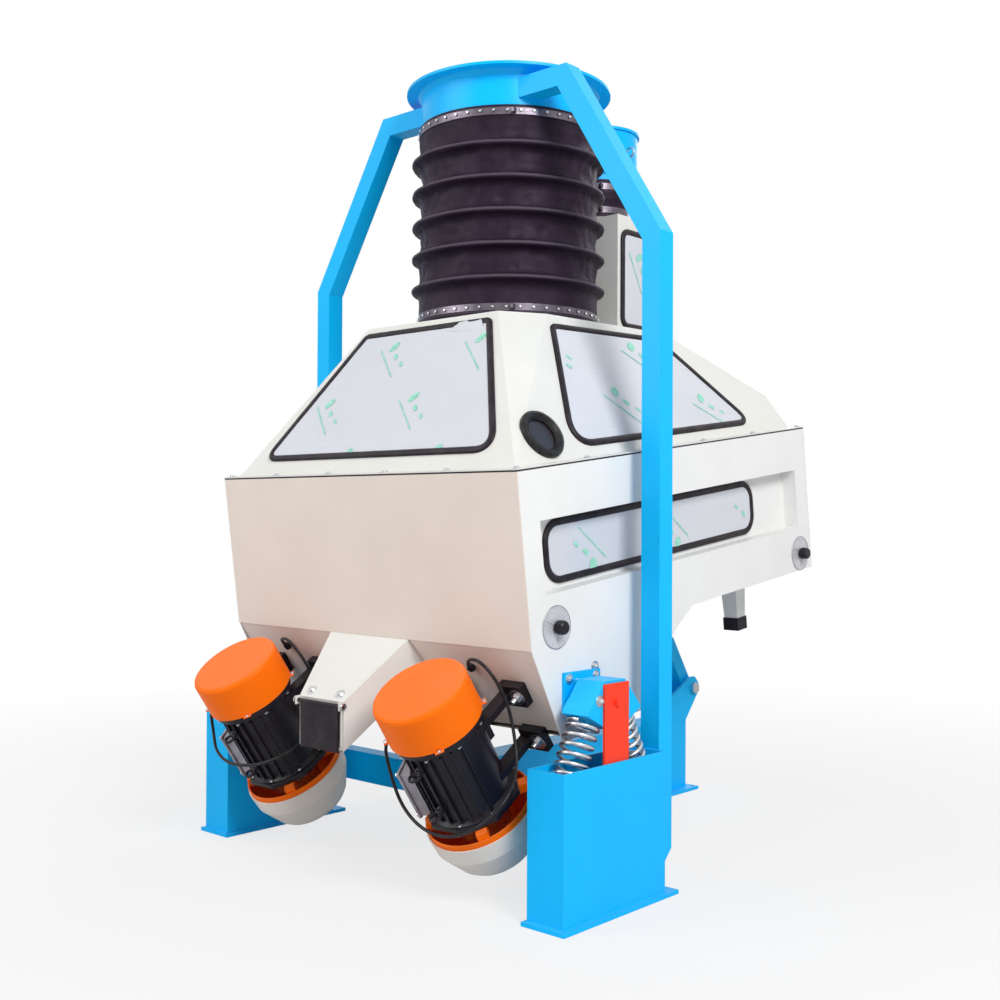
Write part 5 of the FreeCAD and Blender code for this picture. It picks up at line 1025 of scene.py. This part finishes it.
class DESTONER_OT_motor_fittings(bpy.types.Operator):
    """Add the bolts, lugs and covers of the two vibrating motors."""

    bl_idname = "destoner.motor_fittings"
    bl_label = "Motor fittings"

    def execute(self, context):
        for side, word in SIDES:
            place = motor_place(side)
            steel, ears, dark, lid = (bmesh.new() for count in range(4))
            bolts(steel, place, [(across, MOTOR_FOOT - 0.024, level)
                                 for across in (-0.114, 0.114) for level in (-0.062, 0.078)],
                  (0, -1, 0), 0.0125, stud=0.012)
            for turn in turns(8, 22.5):
                spot = turn @ Vector((0.109, 0, 0))
                for up in (1, -1):
                    bolts(steel, place, [(spot.x, spot.y, -up * RIM_BOLTS)], (0, 0, up),
                          0.0055, washer=False)
            rim = place @ Matrix.Translation((0, 0, -MOTOR_HALF + 0.004))
            solid_disc(dark, rim @ turns(8, 22.5)[0], 0.124, 0.013, 8, chamfer=0.003)
            for turn in turns(4, 45):
                spot = place @ turn @ Matrix.Translation((0.119, 0, MOTOR_HALF + 0.012))
                block(ears, spot, (-0.003, -0.011, -0.011), (0.013, 0.011, -0.008), 0.0008)
                block(ears, spot, (-0.003, -0.011, -0.011), (0.001, 0.011, 0.006), 0.0008)
                pan_screw(steel, spot @ Matrix.Translation((0.0065, 0, -0.008)), 0.0045)
            for level in (0.062, -0.062):
                solid_disc(dark, facing(place, (0, -0.094, level), (0, -1, 0)), 0.015, 0.013,
                           18, top=0.012, chamfer=0.002)
                ring(dark, place @ Matrix.Translation((0, -0.122, level)), 0.014, 0.0042)
            cover = place @ Matrix.Rotation(math.radians(-70), 4, "Z")
            block(lid, cover, (-0.0485, -0.1398, -0.1225), (0.0485, -0.1320, 0.0225), 0.002)
            block(lid, cover, (-0.031, -0.1450, -0.104), (0.031, -0.1385, 0.004), 0.005)
            bolts(steel, cover, LID_BOLTS, (0, -1, 0), 0.0052, washer=False)
            for name, bm, finish, slot in (
                    ("terminal_lid_", lid, "cover", "grey_cover"),
                    ("motor_bolts_", steel, "zinc", "zinc_steel"),
                    ("cap_ears_", ears, "orange", "cap_paint"),
                    ("motor_castings_", dark, "enamel", "motor_paint")):
                keep(name + word, bm, FINISHES[finish], "sieve_box")
        return {"FINISHED"}


# Chute, dials, lamp

CHUTE_TIP = (0, -0.175, -0.549)
CHUTE_ROOT = (0, 0, -0.4213)
CHUTE_HALF = 0.086
FLAP_ROD = (0.091, -0.182, -0.558)
STONE_SPOUT = (0.330, 1.270)


class DESTONER_OT_outlets(bpy.types.Operator):
    """Finish the product chute's mouth and the stone spout."""

    bl_idname = "destoner.outlets"
    bl_label = "Outlet details"

    def execute(self, context):
        tip = BOX_PLACE @ Vector(CHUTE_TIP)
        mouth = Matrix.Translation(tip) @ Matrix.Rotation(math.radians(90), 4, "X")
        bm = bmesh.new()
        face = rounded_face(bm, [(-CHUTE_HALF, -0.125), (CHUTE_HALF, -0.125), (CHUTE_HALF, 0),
                                 (-CHUTE_HALF, 0)], (0.003,) * 4)
        inset(bm, face, 0.013)
        bmesh.ops.delete(bm, geom=[face], context="FACES_ONLY")
        bmesh.ops.transform(bm, matrix=mouth, verts=bm.verts)
        bmesh.ops.solidify(bm, geom=list(bm.faces), thickness=0.0016)
        keep("chute_rim", bm, FINISHES["hood"], "sieve_box")
        steel = bmesh.new()
        slope = (BOX_PLACE @ Vector(CHUTE_ROOT) - tip).normalized()
        bolts(steel, Matrix(), [tip + slope * 0.022 + Vector((across, 0, 0))
                                for across in (-0.055, 0.055)],
              (0, -slope.z, slope.y), 0.0075, stud=0.004)
        for side, word in SIDES:
            rod_end = BOX_PLACE @ Vector((side * FLAP_ROD[0], *FLAP_ROD[1:]))
            solid_disc(steel, facing(Matrix(), rod_end, (side, 0, 0)), 0.009, 0.004, 16,
                       chamfer=0.001)
        x, y = STONE_SPOUT
        bolts(steel, BOX_PLACE, [(x + across, y + along, -REAR_DEPTH - SHEET)
                                 for across in (-0.038, 0.038) for along in (-0.038, 0.038)],
              (0, 0, -1), 0.005)
        keep("outlet_bolts", steel, FINISHES["zinc"], "sieve_box")
        return {"FINISHED"}


DIAL_DEPTH = -0.381
DIALS_ALONG = (("front", 0.098), ("rear", 1.290))
SCALE_TICKS = 25
SCALE_START = -150
SCALE_STEP = 12.5


class DESTONER_OT_dials(bpy.types.Operator):
    """Draw the scales of the four air dials and the pointers of their knobs."""

    bl_idname = "destoner.dials"
    bl_label = "Dial scales"

    def execute(self, context):
        lines = bmesh.new()
        for side, word in SIDES:
            for end, along in DIALS_ALONG:
                place = facing(BOX_PLACE, (side * (BODY_HALF + 0.0021), along, DIAL_DEPTH),
                               (side, 0, 0))
                ring(lines, place, 0.0515, 0.0011, 48, 6)
                for index in range(SCALE_TICKS):
                    angle = math.radians(SCALE_START + SCALE_STEP * index)
                    reach = 0.0435 if index % 6 else 0.040
                    block(lines, place @ Matrix.Rotation(angle, 4, "Z"),
                          (-0.00045, reach, 0), (0.00045, 0.048, 0.0004))
                for turn in turns(3, 60):
                    block(lines, place @ turn, (-0.0006, 0.018, 0), (0.0006, 0.040, 0.0004))
                grip = bmesh.new()
                for turn in turns(10):
                    spot = place @ turn @ Matrix.Translation((0.0152, 0, 0.0052))
                    solid_disc(grip, spot, 0.0026, 0.019, 8, top=0.0018, chamfer=0.0006)
                keep("knob_grip_%s_%s" % (end, word), grip, FINISHES["plastic"],
                     "knob_%s_%s" % (end, word))
        keep("dial_scales", lines, FINISHES["cover"], "sieve_box")
        return {"FINISHED"}


LAMP_PLACE = (0.148, 0.076, 0)
REFLECTOR = ((0.006, -0.029), (0.020, -0.026), (0.034, -0.018), (0.0435, -0.0075))
BULB = ((0.0, -0.010), (0.005, -0.011), (0.008, -0.015), (0.007, -0.020), (0.004, -0.026),
        (0.0, -0.027))


class DESTONER_OT_lamp(bpy.types.Operator):
    """Add the inspection lamp's reflector, bulb and ring with its screws."""

    bl_idname = "destoner.lamp"
    bl_label = "Lamp"

    def execute(self, context):
        right = hood_corners()
        place = face_place(right["foot_front"], right["foot_rear"], right["crown"])
        place = place @ Matrix.Translation(LAMP_PLACE)
        reflector, bulb, trim = (bmesh.new() for count in range(3))
        revolved(reflector, place, REFLECTOR, 40)
        bmesh.ops.solidify(reflector, geom=list(reflector.faces), thickness=0.001)
        keep("lamp_reflector", reflector, FINISHES["band"], "sieve_box")
        revolved(bulb, place, BULB, 20)
        keep("lamp_bulb", bulb, FINISHES["film"], "sieve_box")
        for turn in turns(3, 90):
            pan_screw(trim, place @ turn @ Matrix.Translation((0.0575, 0, 0.0125)), 0.0032)
        ring(trim, place @ Matrix.Translation((0, 0, 0.0045)), 0.0445, 0.0018, 48, 8)
        keep("lamp_trim", trim, FINISHES["cover"], "sieve_box")
        return {"FINISHED"}


# Fasteners and welds

RIVETS = 44
SEAM_LEVEL = 0.007
SEAM_BOLT = 0.0062
SEAM_INSET = 0.013
ENDS_ACROSS = [-0.340 + 0.2225 * index for index in range(4)]
SIDES_ALONG = [0.016 + 0.2656 * index for index in range(6)]
CORNER_BOLTS = ((0.150, -0.520), (0.232, -0.505))
BRACKET_LEVELS = (0.488, 0.550)
HANGER_UNDER = -REAR_DEPTH - 0.040
PLATE_TOP = 0.0105


class DESTONER_OT_fasteners(bpy.types.Operator):
    """Set the screws and bolts of box, hood, stand and spouts."""

    bl_idname = "destoner.fasteners"
    bl_label = "Fasteners"

    def execute(self, context):
        box, stand, rivets = (bmesh.new() for count in range(3))
        bolts(box, BOX_PLACE, [(x, y, SEAM_LEVEL) for x in ENDS_ACROSS
                               for y in (SEAM_INSET, BODY_LENGTH - SEAM_INSET)],
              UP, SEAM_BOLT)
        for side, word in SIDES:
            out = (side, 0, 0)
            bolts(box, BOX_PLACE, [(side * (BODY_HALF - SEAM_INSET), y, SEAM_LEVEL)
                                   for y in SIDES_ALONG], UP, SEAM_BOLT)
            bolts(box, BOX_PLACE, [(side * BODY_HALF, y, z) for y, z in CORNER_BOLTS], out,
                  0.008, stud=0.004)
            bolts(box, BOX_PLACE, [(side * across, BODY_LENGTH, -0.40)
                                   for across in (0.535, 0.30)], (0, 1, 0), 0.006)
            bolts(box, Matrix(), [(side * (BODY_HALF + 0.008), SPRINGS_ALONG + shift, rise)
                                  for shift in (-0.052, 0.052) for rise in BRACKET_LEVELS],
                  out, 0.0075)
            bolts(box, Matrix(), [(side * 0.6707, SPRINGS_ALONG - 0.060, 0.508)], out, 0.008,
                  stud=0.004)
            for shift in (-0.163, 0.163):
                washer = (side * 0.632, -0.373 - SETBACK + shift, PLATE_TOP + 0.0001)
                ring(stand, Matrix.Translation(washer), 0.0095, 0.0016, 24, 6)
        bolts(box, BOX_PLACE, [(across, along, HANGER_UNDER) for across in (-0.205, 0.205)
                               for along in (1.178, 1.222)], (0, 0, -1), 0.007)
        low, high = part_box("main_bellows")
        radius = context.scene.destoner_sizes.sleeve_radius + 0.0045
        for bm, level in ((stand, high.z - 0.016), (rivets, low.z + 0.032)):
            for turn in turns(RIVETS):
                out = turn @ Vector((1, 0, 0))
                spot = DUCT_AXIS + out * radius + UP * level
                solid_disc(bm, facing(Matrix(), spot, out), 0.0045, 0.0022, 10, top=0.003)
        hook = Matrix.Translation(FEED_AXIS + Vector((0.146, -0.02, 2.085)))
        ring(stand, hook @ Matrix.Rotation(math.pi / 2, 4, "X"), 0.014, 0.003)
        for name, bm, body in (("box_fasteners", box, "sieve_box"),
                               ("stand_fasteners", stand, "stand"),
                               ("clamp_rivets", rivets, "sieve_box")):
            keep(name, bm, FINISHES["zinc"], body)
        return {"FINISHED"}


class DESTONER_OT_welds(bpy.types.Operator):
    """Run the weld seams where tubes and plates of the stand meet."""

    bl_idname = "destoner.welds"
    bl_label = "Weld seams"

    def execute(self, context):
        bm = bmesh.new()
        front = -0.572 - SETBACK
        rear = front + 0.398
        for side, word in SIDES:
            low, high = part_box("pedestal_" + word)
            left, right = low.x + 0.010, high.x - 0.010
            for x in (left, right):
                bead(bm, (x, front, PLATE_TOP), (x, rear, PLATE_TOP), 0.0028)
            for y in (front, rear):
                bead(bm, (left, y, PLATE_TOP), (right, y, PLATE_TOP), 0.0028)
            for x in (side * 0.639 - 0.028, side * 0.639 + 0.028):
                bead(bm, (x, rear + 0.0005, 0.110), (x, rear + 0.0005, 0.358), 0.0026)
        keep("stand_welds", bm, FINISHES["blue"], "stand", 70)
        return {"FINISHED"}


# Stage

CAMERA_SPOT = (2.4317, -2.7227 - SETBACK, 0.9397)
CAMERA_TURNS = (42.0878, 0.7595, 0.2765)
CAMERA_LENS = 44.35
LIGHTS = (("key", (5.2, -2.2, 4.6), 2.6, 300), ("fill", (-2.6, -5.2, 3.2), 3.5, 125),
          ("rear", (-1.5, 5.0, 4.0), 3.0, 60))
LIGHT_TARGET = Vector((0, 0, 1.0))


def mix_out(tree, factor, first, second, output):
    """Put out a mix of two shaders."""
    mix = add(tree, "ShaderNodeMixShader", {0: factor, 1: first.outputs[0],
                                            2: second.outputs[0]})
    add(tree, output, {"Surface": mix.outputs[0]})


class DESTONER_OT_stage(bpy.types.Operator):
    """Set the floor, the light and the camera."""

    bl_idname = "destoner.stage"
    bl_label = "Stage"

    def execute(self, context):
        scene = context.scene
        scene.view_settings.view_transform = "Standard"
        bm = bmesh.new()
        bmesh.ops.create_grid(bm, x_segments=2, y_segments=2, size=30)
        mesh = bpy.data.meshes.new("studio_floor")
        bm.to_mesh(mesh)
        bm.free()
        floor = bpy.data.objects.new("studio_floor", mesh)
        scene.collection.objects.link(floor)
        material = bpy.data.materials.new("studio_floor")
        mesh.materials.append(material)
        world = bpy.data.worlds.new("studio")
        scene.world = world
        for item in (material, world):
            item.use_nodes = True
            item.node_tree.nodes.clear()
        tree = material.node_tree
        reach = add(tree, "ShaderNodeVectorMath", {0: placed(tree)}, operation="LENGTH")
        plain = ranged(tree, reach.outputs["Value"], 1.2, 3.6, 0.74, 1.0)
        rays = add(tree, "ShaderNodeLightPath").outputs["Is Camera Ray"]
        mix_out(tree, maths(tree, "MULTIPLY", rays, plain),
                add(tree, "ShaderNodeBsdfDiffuse", {"Color": (0.70, 0.70, 0.705, 1)}),
                add(tree, "ShaderNodeEmission", {"Color": (1, 1, 1, 1), "Strength": 1.0}),
                "ShaderNodeOutputMaterial")
        tree = world.node_tree
        rays = add(tree, "ShaderNodeLightPath").outputs
        seen = maths(tree, "MAXIMUM", rays["Is Camera Ray"], rays["Is Glossy Ray"])
        mix_out(tree, maths(tree, "MAXIMUM", seen, rays["Is Transmission Ray"]),
                add(tree, "ShaderNodeBackground", {"Color": (0.96, 0.98, 1.0, 1),
                                                   "Strength": 0.42}),
                add(tree, "ShaderNodeBackground", {"Color": (1, 1, 1, 1), "Strength": 1.0}),
                "ShaderNodeOutputWorld")
        for name, spot, size, power in LIGHTS:
            data = bpy.data.lights.new(name, "AREA")
            data.shape = "DISK"
            data.size = size
            data.energy = power
            lamp = bpy.data.objects.new(name, data)
            lamp.location = spot
            aim = LIGHT_TARGET - Vector(spot)
            lamp.rotation_euler = aim.to_track_quat("-Z", "Y").to_euler()
            scene.collection.objects.link(lamp)
        yaw, pitch, roll = (math.radians(turn) for turn in CAMERA_TURNS)
        ahead = Vector((-math.sin(yaw) * math.cos(pitch), math.cos(yaw) * math.cos(pitch),
                        math.sin(pitch)))
        across = Vector((math.cos(yaw), math.sin(yaw), 0))
        upward = across.cross(ahead)
        right = across * math.cos(roll) + upward * math.sin(roll)
        up = upward * math.cos(roll) - across * math.sin(roll)
        data = bpy.data.cameras.new("camera")
        data.sensor_width = 36
        data.lens = CAMERA_LENS
        data.clip_end = 100
        camera = bpy.data.objects.new("camera", data)
        turn = Matrix((right, up, -ahead)).transposed().to_4x4()
        camera.matrix_world = Matrix.Translation(CAMERA_SPOT) @ turn
        scene.collection.objects.link(camera)
        scene.camera = camera
        return {"FINISHED"}


class DESTONER_PT_pieces(bpy.types.Panel):
    """Buttons for every group of pieces."""

    bl_idname = "DESTONER_PT_pieces"
    bl_label = "Gravity destoner"
    bl_space_type = "VIEW_3D"
    bl_region_type = "UI"
    bl_category = "Destoner"

    def draw(self, context):
        for group in (context.scene.destoner_colours, context.scene.destoner_sizes):
            for name in group.__annotations__:
                self.layout.prop(group, name)
        for operator in OPERATORS:
            self.layout.operator(operator.bl_idname)


OPERATORS = (DESTONER_OT_finishes, DESTONER_OT_springs, DESTONER_OT_sleeves,
             DESTONER_OT_windows, DESTONER_OT_cables, DESTONER_OT_motor_fittings,
             DESTONER_OT_outlets, DESTONER_OT_dials, DESTONER_OT_lamp,
             DESTONER_OT_fasteners, DESTONER_OT_welds, DESTONER_OT_stage)
CLASSES = (DestonerColours, DestonerSizes, *OPERATORS, DESTONER_PT_pieces)


def register():
    for item in CLASSES:
        bpy.utils.register_class(item)
    bpy.types.Scene.destoner_colours = bpy.props.PointerProperty(type=DestonerColours)
    bpy.types.Scene.destoner_sizes = bpy.props.PointerProperty(type=DestonerSizes)


def unregister():
    del bpy.types.Scene.destoner_sizes
    del bpy.types.Scene.destoner_colours
    for item in reversed(CLASSES):
        bpy.utils.unregister_class(item)


def main():
    register()
    for operator in OPERATORS:
        family, name = operator.bl_idname.split(".")
        getattr(getattr(bpy.ops, family), name)()


if __name__ == "__main__":
    main()
